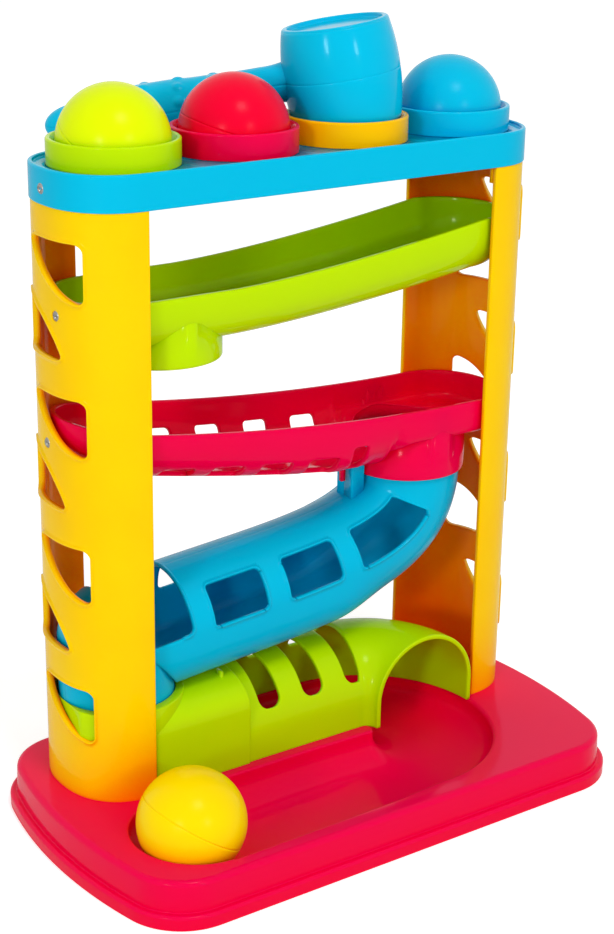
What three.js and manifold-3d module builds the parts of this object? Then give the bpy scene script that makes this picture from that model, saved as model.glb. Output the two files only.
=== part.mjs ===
// Ball pounding tower: balls are knocked through rings in the top deck, roll down a trough, a ramp
// and a tube, pass a tunnel and come to rest in the tray of the base.
// Millimetres, +Z up. The origin is on the underside of the base, below the middle of the tower.
import * as THREE from 'three';
import { mergeVertices } from 'three/addons/utils/BufferGeometryUtils.js';
import Module from 'manifold-3d';

const wasm = await Module();
wasm.setup();

// Driving dimensions
const gap = 0.3;
const overrun = 6;
const moulding = { wallThickness: 2.2, skirtThickness: 2 };
const ball = { radius: 23.35, wallThickness: 1.6, seamGap: 0.3, sinkDepth: 2 };
const base = {
  depth: 152, height: 20.5, cornerRadius: 29.7, endRadius: 235, shift: 3.5, ledgeWidth: 3.1,
  flangeHeight: 6.6, flangeRadius: 1.6, draftWidth: 0.5, edgeRadius: 3.2, ribThickness: 2, padHalfWidth: 4,
};
const tower = { setBack: 29.5, endMargin: 44.75, halfDepth: 32, bulge: 29.6, wallThickness: 2.4 };
const deck = {
  bottomHeight: 277.7, topHeight: 292.6, overhang: 0.5, rimDepth: 1.4, edgeRadius: 0.8,
  tongueHeight: 15, tongueThickness: 2.2, tongueClearance: 0.5,
};
const ring = {
  outerRadius: 27.25, spacing: 2.7, endInset: 2.95, topHeight: 302, edgeRadius: 0.65, throatRadius: 25.4,
  throatDepth: 2.6, spigotRadius: 25.9, bottomHeight: 284,
};
const trough = {
  halfWidth: 27.5, endReach: 25.4, rimOverRamp: 70.5, rimRise: 14.5, flatLength: 43.75, riseLength: 134,
  lowDepth: 23.6, highDepth: 25.7, spoutInset: 22.95, spoutRadius: 26.6, spoutDrop: 30,
};
const ramp = {
  halfWidth: 27.6, endReach: 25.4, rimOverTube: 84, rimRise: 14.5, riseLength: 174, leftDepth: 22.2,
  rightDepth: 28.6, deepestInset: 48.75, mouthInset: 33.75, mouthDepth: 16, collarRadius: 27.4,
  collarDrop: 33.5, floorHalfWidth: 12.7, nearWindowPitch: 24.3, nearWindowWidth: 17, nearWindowInset: 18.85,
  nearWindowDrop: 14.9, farWindowPitch: 26.2, farWindowWidth: 14, farWindowInset: 9.05, farWindowDrop: 11.3,
  lastWindowInset: 66.45, lastWindowWidth: 9.6, tabInset: 59.35, tabOffset: 1, tabLength: 2.2, tabWidth: 2,
  tabDrop: 9,
};
const tube = {
  radius: 25.5, wallThickness: 1.75, topInset: 20.95, plugLength: 9, controlInset: 87.15,
  endInset: 0.85, endOverTunnel: 24.2, outletDrop: 40.5, windowLow: 1.4, windowHigh: 17.6,
  windowRadius: 3, saddleLength: 23.6, saddleReach: 31,
};
const lug = { inset: 56.35, length: 7.4, halfWidth: 5.9 };
const tunnel = {
  offset: 1.2, halfWidth: 28.2, crownHeight: 60.3, wallThickness: 2.2, pivotInset: 64.75, turnRadius: 33.2,
  inletLength: 49.55, sleeveThickness: 0.9, slotPitch: 23.7, slotWidth: 15.2, slotHeight: 42.5,
  firstSlotInset: 117.4, collarHeight: 59.4,
};
const tray = {
  startWidth: 25.5, archWidth: 26, laneWidth: 28.4, endWidth: 29.6, laneInset: 70.5, endInset: 1.25,
  startFloorHeight: 8.5, endFloorHeight: 2.3, wallThickness: 2.2, ballReach: 4.25, ballOffset: 3.4,
  ballLift: 0.95,
};
const pane = {
  halfSpan: 21, width: 31.5, height: 24, cornerRadius: 3, bayDrop: 48.4, pitch: 64.2, topHeight: 264.5,
  lipWidth: 1.3, lipHeight: 0.8,
};
const screw = {
  headRadius: 2.4, headHeight: 1.5, shankRadius: 1.3, length: 9, shortLength: 5, sinkDepth: 0.7, bossRadius: 4,
  deckHeight: 284.2, troughOffset: 7, troughLeftDrop: 5, troughRightDrop: 15.5,
  rampOffset: 2.7, rampLeftDrop: 5.6, rampRightDrop: 22.5,
};
const hammer = {
  headHalfLength: 22, faceRadius: 22.9, bellyRadius: 25.6, rimWidth: 2.4, faceDepth: 1.6, edgeRadius: 0.8,
  wallThickness: 2.2, seatHeight: 17, seatShift: 0.7, seamGap: 0.3, handleLength: 130, gripRadius: 12.4,
};
const hammerYaw = 35;
const hammerSlope = 9.3;
const roundCount = 20;
const tubeCount = 20;
const ballCount = 16;
const panelSquareness = 2.3;
const paneSquareness = 1.5;
const rimPower = 1.5;
const troughSquareness = 3;
const rampLeftSquareness = 2.6;
const rampRightSquareness = 4.2;

// Places that follow from the driving dimensions
const ballPitch = 2 * ring.outerRadius + ring.spacing;
const innerX = 1.5 * ballPitch + ring.endInset;
const baseLength = 2 * (innerX + tower.endMargin);
const tubeEndZ = tunnel.crownHeight + tube.endOverTunnel;
const rampRimZ = tubeEndZ + ramp.rimOverTube;
const collarLowZ = rampRimZ - ramp.collarDrop;
const tubeTopZ = collarLowZ + tube.plugLength;
const outletZ = tubeEndZ - tube.outletDrop;
const troughRimZ = rampRimZ + trough.rimOverRamp;
const tubeTopX = innerX - tube.topInset;
const tubeEndX = -innerX - tube.endInset;
const spoutX = trough.spoutInset - innerX;
const pivotX = innerX - tunnel.pivotInset;
const pivotY = -tunnel.offset - tunnel.turnRadius;
const jointX = tunnel.inletLength - innerX;
const lugX = innerX - lug.inset;
const rimInset = base.ledgeWidth + base.draftWidth;
const panelTop = deck.bottomHeight;
const plateTop = deck.topHeight - deck.rimDepth;
const ballZ = ring.topHeight - ball.sinkDepth;
const deckOuterX = innerX + tower.bulge + deck.overhang;
const seamHalf = hammer.seamGap / 2;

const colours = {
  red: 0xe4002f, yellow: 0xffc800, blue: 0x00a9d6, green: 0xb4d800, amber: 0xffab0a, sun: 0xffcc00,
  steel: 0xb9b9b4,
};
const plastic = (colour) => new THREE.MeshStandardMaterial({ color: colour, roughness: 0.3, metalness: 0 });
const steel = () => new THREE.MeshStandardMaterial({ color: colours.steel, roughness: 0.35, metalness: 1 });
const degrees = THREE.MathUtils.degToRad;

// Closed bodies and the cuts between them
function signedVolume(geometry) {
  const p = geometry.attributes.position;
  const [a, b, c] = [new THREE.Vector3(), new THREE.Vector3(), new THREE.Vector3()];
  let sum = 0;
  for (let i = 0; i < geometry.index.count; i += 3) {
    a.fromBufferAttribute(p, geometry.index.getX(i));
    b.fromBufferAttribute(p, geometry.index.getX(i + 1));
    c.fromBufferAttribute(p, geometry.index.getX(i + 2));
    sum += a.dot(b.cross(c));
  }
  return sum;
}

function solid(geometry) {
  const bare = geometry.clone();
  bare.deleteAttribute('normal');
  bare.deleteAttribute('uv');
  const merged = mergeVertices(bare);
  const triangles = Uint32Array.from(merged.index.array);
  if (signedVolume(merged) < 0) triangles.reverse();
  return new wasm.Manifold(new wasm.Mesh({
    numProp: 3, vertProperties: merged.attributes.position.array, triVerts: triangles,
  }));
}

function mesh(name, body, material) {
  const { vertProperties, triVerts } = body.getMesh();
  const geometry = new THREE.BufferGeometry();
  geometry.setAttribute('position', new THREE.BufferAttribute(vertProperties, 3));
  geometry.setIndex(new THREE.BufferAttribute(triVerts, 1));
  geometry.computeVertexNormals();
  const part = new THREE.Mesh(geometry, material);
  part.name = name;
  return part;
}

// A skin over closed loops of points; each loop mirrors onto itself, so the two end caps are strips
function skin(loops) {
  const count = loops[0].length;
  const faces = [];
  const quad = (a, b, c, d) => {
    if (new Set([a, b, c]).size === 3) faces.push(a, b, c);
    if (new Set([a, c, d]).size === 3) faces.push(a, c, d);
  };
  for (let row = 0; row + 1 < loops.length; row += 1) {
    for (let i = 0; i < count; i += 1) {
      const next = (i + 1) % count;
      quad(row * count + i, row * count + next, (row + 1) * count + next, (row + 1) * count + i);
    }
  }
  const last = (loops.length - 1) * count;
  for (let i = 0; i < count / 2; i += 1) {
    const far = (count - i) % count;
    quad(far, count - i - 1, i + 1, i);
    quad(last + i, last + i + 1, last + count - i - 1, last + far);
  }
  const geometry = new THREE.BufferGeometry();
  const positions = loops.flat().flatMap((p) => [p.x, p.y, p.z]);
  geometry.setAttribute('position', new THREE.Float32BufferAttribute(positions, 3));
  geometry.setIndex(faces);
  return solid(geometry);
}

const steps = (count, start, end) => Array.from(
  { length: count + 1 }, (_, i) => start + (end - start) * i / count);
const mirrored = (half) => [...half, ...half.slice(1, -1).reverse().map(([x, y]) => [x, -y])];
const shapeOf = (points) => new THREE.Shape(points.map(([x, y]) => new THREE.Vector2(x, y)));

function prism(shape, low, high, axes) {
  const depth = high - low;
  const geometry = new THREE.ExtrudeGeometry(shape, { depth, bevelEnabled: false, curveSegments: 6 });
  geometry.translate(0, 0, low);
  if (axes) geometry.applyMatrix4(new THREE.Matrix4().makeBasis(...axes));
  return solid(geometry);
}
const X = new THREE.Vector3(1, 0, 0);
const Y = new THREE.Vector3(0, 1, 0);
const Z = new THREE.Vector3(0, 0, 1);
const prismZ = (shape, low, high) => prism(shape, low, high);
const prismX = (shape, low, high) => prism(shape, low, high, [Y, Z, X]);
const prismY = (shape, low, high) => prism(shape, -high, -low, [X, Z, Y.clone().negate()]);

function revolve(profile, x = 0, y = 0, segments = roundCount) {
  const geometry = new THREE.LatheGeometry(profile.map(([r, z]) => new THREE.Vector2(r, z)), segments);
  geometry.rotateX(Math.PI / 2);
  geometry.translate(x, y, 0);
  return solid(geometry);
}
const cylinder = (radius, low, high, x, y, count = roundCount) => revolve(
  [[0, low], [radius, low], [radius, high], [0, high]], x, y, count);

function cylinderX(radius, low, high, y, z) {
  const geometry = new THREE.CylinderGeometry(radius, radius, high - low, 10);
  geometry.rotateZ(Math.PI / 2);
  geometry.translate((low + high) / 2, y, z);
  return solid(geometry);
}

function block(low, high) {
  const geometry = new THREE.BoxGeometry(...low.map((v, i) => high[i] - v));
  geometry.translate(...low.map((v, i) => (v + high[i]) / 2));
  return solid(geometry);
}

// Base: a flanged shell with a hairpin tray sunk into its top and ribs under it
const endAngle = Math.asin((base.depth / 2 - base.cornerRadius) / (base.endRadius - base.cornerRadius));
function baseLoop(inset, z) {
  const endCentre = baseLength / 2 - base.endRadius;
  const across = base.endRadius - base.cornerRadius;
  const corner = [endCentre + across * Math.cos(endAngle), across * Math.sin(endAngle)];
  const end = steps(2, 0, endAngle).map((t) => [
    endCentre + (base.endRadius - inset) * Math.cos(t), (base.endRadius - inset) * Math.sin(t)]);
  const turn = steps(4, endAngle, Math.PI / 2).slice(1).map((t) => [
    corner[0] + (base.cornerRadius - inset) * Math.cos(t),
    corner[1] + (base.cornerRadius - inset) * Math.sin(t)]);
  const right = [...end, ...turn];
  const left = [...right].reverse().map(([x, y]) => [-x, y]);
  return mirrored([...right, ...left]).map(([x, y]) => new THREE.Vector3(x - base.shift, y, z));
}

// The tray's centre line: along under the tunnel, round a half turn and back along the front
function trayStations() {
  const centre = [pivotX, pivotY + tower.setBack];
  const startY = tower.setBack - tunnel.offset;
  const laneY = tray.laneInset - base.depth / 2;
  const laneRadius = centre[1] - laneY + tray.laneWidth;
  const straight = steps(2, tubeEndX, pivotX).slice(0, -1).map((x) => ({
    x, y: startY, along: 0, width: tray.startWidth }));
  const turn = steps(6, 0, 1).map((t) => {
    const angle = Math.PI / 2 - Math.PI * t;
    const radius = THREE.MathUtils.lerp(tunnel.turnRadius, laneRadius, t);
    const width = t < 0.5
      ? THREE.MathUtils.lerp(tray.startWidth, tray.archWidth, 2 * t)
      : THREE.MathUtils.lerp(tray.archWidth, tray.laneWidth, 2 * t - 1);
    const x = centre[0] + radius * Math.cos(angle);
    const y = centre[1] + radius * Math.sin(angle);
    return { x, y, along: -Math.PI * t, width };
  });
  const lane = steps(2, 0, 1).slice(1).map((t) => {
    const width = THREE.MathUtils.lerp(tray.laneWidth, tray.endWidth, t);
    const x = THREE.MathUtils.lerp(pivotX, tray.endInset - innerX, t);
    return { x, y: laneY - width, along: -Math.PI, width };
  });
  const all = [...straight, ...turn, ...lane];
  const fall = (i) => THREE.MathUtils.lerp(tray.startFloorHeight, tray.endFloorHeight, i / (all.length - 1));
  return all.map((station, i) => ({ ...station, floor: fall(i) }));
}

const bowlShares = [[1, 0], [0.92, 0.45], [0.6, 0.9]];
function trayBody(grow, lift) {
  const stations = trayStations();
  const lip = base.height + lift;
  const depthAt = (s) => base.height - s.floor + grow;
  const profile = (s) => [[s.width + grow, lip], ...bowlShares.map(([across, down]) => [
    across * (s.width + grow), base.height - down * depthAt(s)])];
  const loops = stations.map((s) => {
    const side = [-Math.sin(s.along), Math.cos(s.along)];
    const place = (across, z) => new THREE.Vector3(s.x + side[0] * across, s.y + side[1] * across, z);
    const half = profile(s);
    return [place(0, lip), ...half.map(([across, z]) => place(across, z)), place(0, base.height - depthAt(s)),
      ...[...half].reverse().map(([across, z]) => place(-across, z))];
  });
  const bowl = (s) => revolve([[0, lip], ...profile(s), [0, base.height - depthAt(s)]], s.x, s.y, ballCount);
  return skin(loops).add(bowl(stations[0])).add(bowl(stations[stations.length - 1]));
}

function makeBase() {
  const soft = base.flangeRadius;
  const shoulder = base.height - base.edgeRadius;
  const outside = skin([
    baseLoop(0, 0), baseLoop(0, base.flangeHeight - soft), baseLoop(soft, base.flangeHeight),
    baseLoop(base.ledgeWidth, base.flangeHeight), baseLoop(rimInset, shoulder),
    baseLoop(rimInset + base.edgeRadius / 3, base.height - base.edgeRadius / 3),
    baseLoop(rimInset + base.edgeRadius, base.height)]);
  const wall = moulding.wallThickness;
  const hollow = skin([
    baseLoop(wall, -overrun), baseLoop(wall, base.flangeHeight - wall),
    baseLoop(base.ledgeWidth + wall, base.flangeHeight - wall), baseLoop(rimInset + wall, base.height - wall)]);
  const across = baseLength / 2;
  const deep = base.depth / 2;
  const half = base.ribThickness / 2;
  const pad = base.padHalfWidth;
  let ribs = block([-pad, -pad, 0], [pad, pad, base.height]);
  [-0.7, 0, 0.7].map((share) => share * across - base.shift).forEach((x) => {
    ribs = ribs.add(block([x - half, -deep, 0], [x + half, deep, base.height]));
  });
  [-0.62, 0, 0.62].map((share) => share * deep).forEach((y) => {
    ribs = ribs.add(block([-across - base.shift, y - half, 0], [across - base.shift, y + half, base.height]));
  });
  const open = hollow.subtract(trayBody(tray.wallThickness, 0)).subtract(ribs);
  return outside.subtract(open).subtract(trayBody(0, overrun));
}

// End panels: half-oval shells with slanted windows in pairs
function ovalHalf(inset, count = 8) {
  const power = 2 / panelSquareness;
  return steps(count, -Math.PI / 2, Math.PI / 2).map((t) => [
    innerX + (tower.bulge - inset) * Math.abs(Math.cos(t)) ** power,
    (tower.halfDepth - inset) * Math.sign(Math.sin(t)) * Math.abs(Math.sin(t)) ** power]);
}
const shellShape = (outerInset, innerInset) => shapeOf(
  [...ovalHalf(outerInset), ...ovalHalf(innerInset).reverse()]);

// One window: two straight sides that meet in a rounded corner, closed by a bowed slanting side
function paneShape(cornerY, cornerZ, wayY, wayZ, grow) {
  const bow = steps(3, 0.06, 0.94).map((share) => {
    const angle = share * Math.PI / 2;
    return [
      pane.width * Math.cos(angle) ** (2 / paneSquareness) + grow,
      pane.height * Math.sin(angle) ** (2 / paneSquareness) + grow];
  });
  const r = pane.cornerRadius;
  const soft = r * 0.3 - grow;
  const edge = [
    [-grow, bow[bow.length - 1][1]], [-grow, r - grow], [soft, soft], [r - grow, -grow], [bow[0][0], -grow]];
  return shapeOf([...bow, ...edge].map(([y, z]) => [cornerY + wayY * y, cornerZ + wayZ * z]));
}
function paneShapes(grow) {
  return [0, 1, 2, 3].flatMap((i) => {
    const top = pane.topHeight - i * pane.pitch;
    const front = paneShape(-pane.halfSpan, top, 1, -1, grow);
    return i < 3 ? [front, paneShape(pane.halfSpan, top - pane.bayDrop, -1, 1, grow)] : [front];
  });
}

function makePanel() {
  const wall = tower.wallThickness;
  const outX = innerX + tower.bulge + overrun;
  let body = prismZ(shellShape(0, wall), base.height, panelTop);
  const lipShell = prismZ(shellShape(-pane.lipHeight, wall / 2), base.height + gap, panelTop - gap);
  paneShapes(pane.lipWidth).forEach((shape) => {
    body = body.add(prismX(shape, innerX + overrun, outX).intersect(lipShell));
  });
  paneShapes(0).forEach((shape) => { body = body.subtract(prismX(shape, innerX, outX)); });
  const tongueInset = wall - deck.tongueClearance;
  const half = deck.tongueHeight / 2;
  const tongue = shellShape(tongueInset, tongueInset + deck.tongueThickness);
  return body.add(prismZ(tongue, panelTop - half, panelTop + half));
}

// Screws and the holes that take them
function drilled(body, y, z, seatX) {
  const through = cylinderX(screw.shankRadius + gap, innerX, seatX + overrun, y, z);
  return body.subtract(through).subtract(cylinderX(screw.headRadius + gap, seatX, seatX + overrun, y, z));
}
function makeScrew(seatX, long) {
  const r = screw.headRadius;
  const profile = [
    [0, -long], [screw.shankRadius, -long], [screw.shankRadius, 0], [r, 0], [r, screw.headHeight / 2],
    [r * 0.7, screw.headHeight], [0, screw.headHeight]];
  const geometry = new THREE.LatheGeometry(profile.map(([a, b]) => new THREE.Vector2(a, b)), 8);
  geometry.rotateZ(-Math.PI / 2);
  geometry.translate(seatX, 0, 0);
  return solid(geometry);
}
function bothWays(body) {
  const flipped = mesh('blank', body, steel()).geometry;
  flipped.scale(-1, 1, 1);
  return solid(flipped);
}

// Deck: a shallow cap with four round holes
function racetrack(inset, z) {
  const half = ovalHalf(inset, 8).slice(4).map(([x, y]) => [x, Math.max(y, 0)]);
  const all = [...half, ...[...half].reverse().map(([x, y]) => [-x, y])];
  return mirrored(all).map(([x, y]) => new THREE.Vector3(x, y, z));
}
const ringPlaces = [-1.5, -0.5, 0.5, 1.5].map((n) => n * ballPitch);
function makeDeck() {
  const out = -deck.overhang;
  const inner = out + moulding.skirtThickness;
  let body = skin([
    racetrack(out, deck.bottomHeight), racetrack(out, deck.topHeight - deck.edgeRadius),
    racetrack(out + deck.edgeRadius, deck.topHeight)]);
  body = body.subtract(skin([racetrack(inner, plateTop), racetrack(inner, deck.topHeight + overrun)]));
  body = body.subtract(skin([
    racetrack(inner, deck.bottomHeight - overrun), racetrack(inner, plateTop - moulding.wallThickness)]));
  ringPlaces.forEach((x) => {
    body = body.subtract(cylinder(ring.spigotRadius + gap, deck.bottomHeight, deck.topHeight, x, 0));
  });
  return body;
}

function makeRing(x) {
  const bore = ball.radius + gap;
  return revolve([
    [bore, ring.bottomHeight], [bore, ring.topHeight - ring.throatDepth], [ring.throatRadius, ring.topHeight],
    [ring.outerRadius - ring.edgeRadius, ring.topHeight], [ring.outerRadius, ring.topHeight - ring.edgeRadius],
    [ring.outerRadius, plateTop], [ring.spigotRadius, plateTop], [ring.spigotRadius, ring.bottomHeight],
    [bore, ring.bottomHeight]], x, 0);
}

// Balls: two welded half shells each
function ballHalf(flip) {
  const inner = ball.radius - ball.wallThickness;
  const lift = ball.seamGap / 2;
  const arcOf = (radius, count) => steps(count, Math.PI / 2, Math.asin(lift / radius)).map((t) => [
    radius * Math.cos(t), radius * Math.sin(t)]);
  const profile = [...arcOf(ball.radius, 4), ...arcOf(inner, 3).reverse()];
  profile[0][0] = 0;
  profile[profile.length - 1][0] = 0;
  const geometry = new THREE.LatheGeometry(profile.map(([r, z]) => new THREE.Vector2(r, z)), ballCount);
  geometry.rotateX(flip ? -Math.PI / 2 : Math.PI / 2);
  return solid(geometry);
}
function makeBall(name, colour, x, y, z, tilt, turn) {
  const group = new THREE.Group();
  group.position.set(x, y, z);
  group.rotation.set(tilt, 0, turn, 'ZYX');
  group.add(mesh(`${name}_upper_half`, ballHalf(false), plastic(colour)));
  group.add(mesh(`${name}_lower_half`, ballHalf(true), plastic(colour)));
  return group;
}

// Tubs: channels with rounded ends whose rim and floor follow formulas along the length
const clamp01 = (v) => Math.min(Math.max(v, 0), 1);
const troughShare = (x) => clamp01((x + innerX - trough.flatLength) / trough.riseLength);
const troughForm = {
  endReach: trough.endReach,
  halfWidth: trough.halfWidth,
  rim: (x) => troughRimZ + trough.rimRise * troughShare(x) ** rimPower,
  depth: (x) => THREE.MathUtils.lerp(trough.lowDepth, trough.highDepth, troughShare(x)),
  power: () => troughSquareness,
  spots: steps(6, innerX, -innerX).slice(1, -1),
};
const deepestX = innerX - ramp.deepestInset;
const mouthX = innerX - ramp.mouthInset;
const rampShare = (x) => clamp01((x + innerX) / (deepestX + innerX));
const mouthShare = (x) => 1 - (1 - clamp01((x - deepestX) / (mouthX - deepestX))) ** 2;
const rampForm = {
  endReach: ramp.endReach,
  halfWidth: ramp.halfWidth,
  rim: (x) => rampRimZ + ramp.rimRise * Math.max(0, (innerX - x) / ramp.riseLength) ** 2,
  depth: (x) => {
    const floor = THREE.MathUtils.lerp(ramp.leftDepth, ramp.rightDepth, rampShare(x));
    return THREE.MathUtils.lerp(floor, ramp.mouthDepth, mouthShare(x));
  },
  power: (x) => THREE.MathUtils.lerp(rampLeftSquareness, rampRightSquareness, rampShare(x) ** 2),
  spots: [...steps(4, deepestX, mouthX), ...steps(4, deepestX, -innerX).slice(1, -1)].sort((a, b) => b - a),
};
function tubBody(form, shrink, lift) {
  const outline = [];
  steps(4, 0, Math.PI / 2).forEach((t) => outline.push([innerX, Math.cos(t), Math.sin(t)]));
  form.spots.forEach((x) => outline.push([x, 0, 1]));
  steps(4, Math.PI / 2, Math.PI).forEach((t) => outline.push([-innerX, Math.cos(t), Math.sin(t)]));
  const full = [...outline, ...outline.slice(1, -1).reverse().map(([x, a, b]) => [x, a, -b])];
  const loop = (turn, raise) => full.map(([x, a, b]) => {
    const power = 2 / form.power(x);
    const across = Math.cos(turn) ** power;
    const down = Math.sin(turn) ** power;
    const px = x + a * (form.endReach - shrink) * across;
    const py = b * (form.halfWidth - shrink) * across;
    return new THREE.Vector3(px, py, form.rim(px) + raise - (form.depth(px) - shrink) * down);
  });
  const sweepShares = [0, 0.16, 0.42, 0.7, 0.93];
  const loops = sweepShares.map((share) => loop(share * Math.PI / 2, 0));
  return skin(lift ? [loop(0, lift), ...loops] : loops);
}

const fixings = [
  {
    name: 'trough_screw', y: -screw.troughOffset,
    left: troughForm.rim(-innerX) - screw.troughLeftDrop, right: troughForm.rim(innerX) - screw.troughRightDrop,
    rightRoot: innerX + trough.endReach / 2,
  },
  {
    name: 'ramp_screw', y: screw.rampOffset,
    left: rampForm.rim(-innerX) - screw.rampLeftDrop, right: rampForm.rim(innerX) - screw.rampRightDrop,
    rightRoot: tubeTopX + ramp.collarRadius - screw.headHeight / 2,
  },
];

// The inside face of an end panel at a distance from its middle, on the flats that make the oval
function panelInnerX(y) {
  const line = ovalHalf(tower.wallThickness);
  const i = line.findIndex(([, to]) => to >= y);
  const [[x0, y0], [x1, y1]] = [line[i - 1], line[i]];
  return x0 + (x1 - x0) * (y - y0) / (y1 - y0);
}
function withBosses(body, hollow, fixing) {
  const face = panelInnerX(Math.abs(fixing.y) + screw.bossRadius) - gap;
  const from = innerX + trough.endReach / 2;
  const boss = (low, high, z) => cylinderX(screw.bossRadius, low, high, fixing.y, z).subtract(hollow);
  const bore = (low, high, z) => cylinderX(screw.shankRadius + gap, low, high, fixing.y, z);
  return body.add(boss(-face, -from, fixing.left)).add(boss(fixing.rightRoot, face, fixing.right))
    .subtract(bore(-face - overrun, screw.length - face, fixing.left))
    .subtract(bore(face - screw.length, face + overrun, fixing.right));
}

function makeTrough() {
  const wall = moulding.wallThickness;
  const hollow = tubBody(troughForm, wall, overrun);
  const low = troughRimZ - trough.spoutDrop;
  const spout = cylinder(trough.spoutRadius, low, troughRimZ - wall, spoutX, 0);
  const bore = cylinder(trough.spoutRadius - wall, low - overrun, troughRimZ, spoutX, 0);
  return withBosses(tubBody(troughForm, 0, 0).add(spout).subtract(hollow).subtract(bore), hollow, fixings[0]);
}

function makeRamp() {
  const wall = moulding.wallThickness;
  const low = collarLowZ;
  const hollow = tubBody(rampForm, wall, overrun);
  const collar = cylinder(ramp.collarRadius, low, rampRimZ - wall, tubeTopX, 0);
  let body = tubBody(rampForm, 0, 0).add(collar).subtract(hollow);
  const socket = tube.radius + gap;
  body = body.subtract(cylinder(socket, low - overrun, tubeTopZ + gap, tubeTopX, 0, tubeCount));
  body = body.subtract(
    cylinder(socket - moulding.skirtThickness / 2, tubeTopZ, rampRimZ, tubeTopX, 0, tubeCount));
  const reach = ramp.halfWidth + overrun;
  const window = (inset, width, drop, side) => {
    const x = inset - innerX;
    const edges = [side * ramp.floorHalfWidth, side * reach].sort((a, b) => a - b);
    return block([x - width / 2, edges[0], low], [x + width / 2, edges[1], rampForm.rim(x) - drop]);
  };
  [0, 1, 2, 3].forEach((i) => {
    const inset = ramp.nearWindowInset + i * ramp.nearWindowPitch;
    body = body.subtract(window(inset, ramp.nearWindowWidth, ramp.nearWindowDrop, -1));
  });
  [0, 1, 2, 3, 4].forEach((i) => {
    const inset = ramp.farWindowInset + i * ramp.farWindowPitch;
    body = body.subtract(window(inset, ramp.farWindowWidth, ramp.farWindowDrop, 1));
  });
  const last = 2 * innerX - ramp.lastWindowInset;
  body = body.subtract(window(last, ramp.lastWindowWidth, ramp.farWindowDrop, -1));
  const tabX = innerX - ramp.tabInset;
  const under = rampForm.rim(tabX) - rampForm.depth(tabX);
  const half = ramp.tabWidth / 2;
  const tab = block(
    [tabX, -ramp.tabOffset - half, under - ramp.tabDrop],
    [tabX + ramp.tabLength, half - ramp.tabOffset, under + wall * 2]);
  return withBosses(body.add(tab.subtract(hollow)), hollow, fixings[1]);
}

// Tube: two mirrored halves split along the middle, with windows between bridges
const tubeControlZ = (share) => THREE.MathUtils.lerp(tubeEndZ, collarLowZ, share);
const tubePath = new THREE.CubicBezierCurve3(
  new THREE.Vector3(tubeTopX, 0, collarLowZ), new THREE.Vector3(tubeTopX, 0, tubeControlZ(0.103)),
  new THREE.Vector3(innerX - tube.controlInset, 0, tubeControlZ(0.206)),
  new THREE.Vector3(tubeEndX, 0, tubeEndZ));
function tubeBody(radius, ends) {
  const shape = new THREE.Shape().absarc(0, 0, radius, 0, 2 * Math.PI);
  const along = new THREE.ExtrudeGeometry(shape, {
    steps: 10, extrudePath: tubePath, bevelEnabled: false, curveSegments: tubeCount / 2 });
  const elbow = new THREE.SphereGeometry(radius, tubeCount, tubeCount / 2);
  elbow.rotateX(Math.PI / 2);
  elbow.translate(tubeEndX, 0, tubeEndZ);
  return solid(along).add(solid(elbow))
    .add(cylinder(radius, outletZ - ends, tubeEndZ, tubeEndX, 0, tubeCount))
    .add(cylinder(radius, collarLowZ - gap, tubeTopZ + ends, tubeTopX, 0, tubeCount));
}

// A window outline that follows the tube between two shares of its length
const tubeWindowShares = [[0.1, 0.344], [0.419, 0.568], [0.652, 0.793]];
function tubeWindow(fromShare, toShare) {
  const total = tubePath.getLength();
  const at = (distance, rise) => {
    const p = tubePath.getPointAt(clamp01(distance / total));
    const t = tubePath.getTangentAt(clamp01(distance / total));
    return [p.x - t.z * rise, p.z + Math.abs(t.x) * rise];
  };
  const { windowLow: low, windowHigh: high, windowRadius: r } = tube;
  const from = fromShare * total;
  const to = toShare * total;
  const k = r * 0.3;
  return shapeOf([
    ...steps(3, from + r, to - r).map((d) => at(d, high)), at(to - k, high - k), at(to, high - r),
    at(to, low + r), at(to - k, low + k), ...steps(3, to - r, from + r).map((d) => at(d, low)),
    at(from + k, low + k), at(from, low + r), at(from, high - r), at(from + k, high - k)]);
}
function makeTube() {
  const reach = tube.radius + overrun;
  const inside = tubeBody(tube.radius - tube.wallThickness, overrun);
  const lugEnd = lugX + lug.length;
  const under = rampForm.rim(lugEnd) - rampForm.depth(lugEnd) - gap;
  const foot = tubeControlZ(0.206) + tube.radius / 2;
  let body = tubeBody(tube.radius, 0).add(block(
    [lugX, -lug.halfWidth, foot], [lugEnd, lug.halfWidth, under]));
  body = body.subtract(inside);
  tubeWindowShares.forEach(([from, to]) => {
    body = body.subtract(prismY(tubeWindow(from, to), -reach, reach));
  });
  const saddleX = tubeEndX + tube.saddleLength;
  const sill = tubeEndZ + tube.windowLow;
  const r = tube.windowRadius;
  const saddle = shapeOf([
    [saddleX - tube.saddleReach, sill], [saddleX - r, sill], [saddleX - r / 4, sill + r / 4],
    [saddleX, sill + r], [saddleX - r / 4, tubeEndZ + tube.windowHigh], [saddleX - r, tubeEndZ + reach],
    [saddleX - tube.saddleReach, tubeEndZ + reach]]);
  body = body.subtract(prismY(saddle, -reach, reach));
  const half = (low, high) => body.intersect(block([-baseLength, low, 0], [baseLength, high, baseLength]));
  return [half(-reach, 0), half(0, reach)];
}

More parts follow.
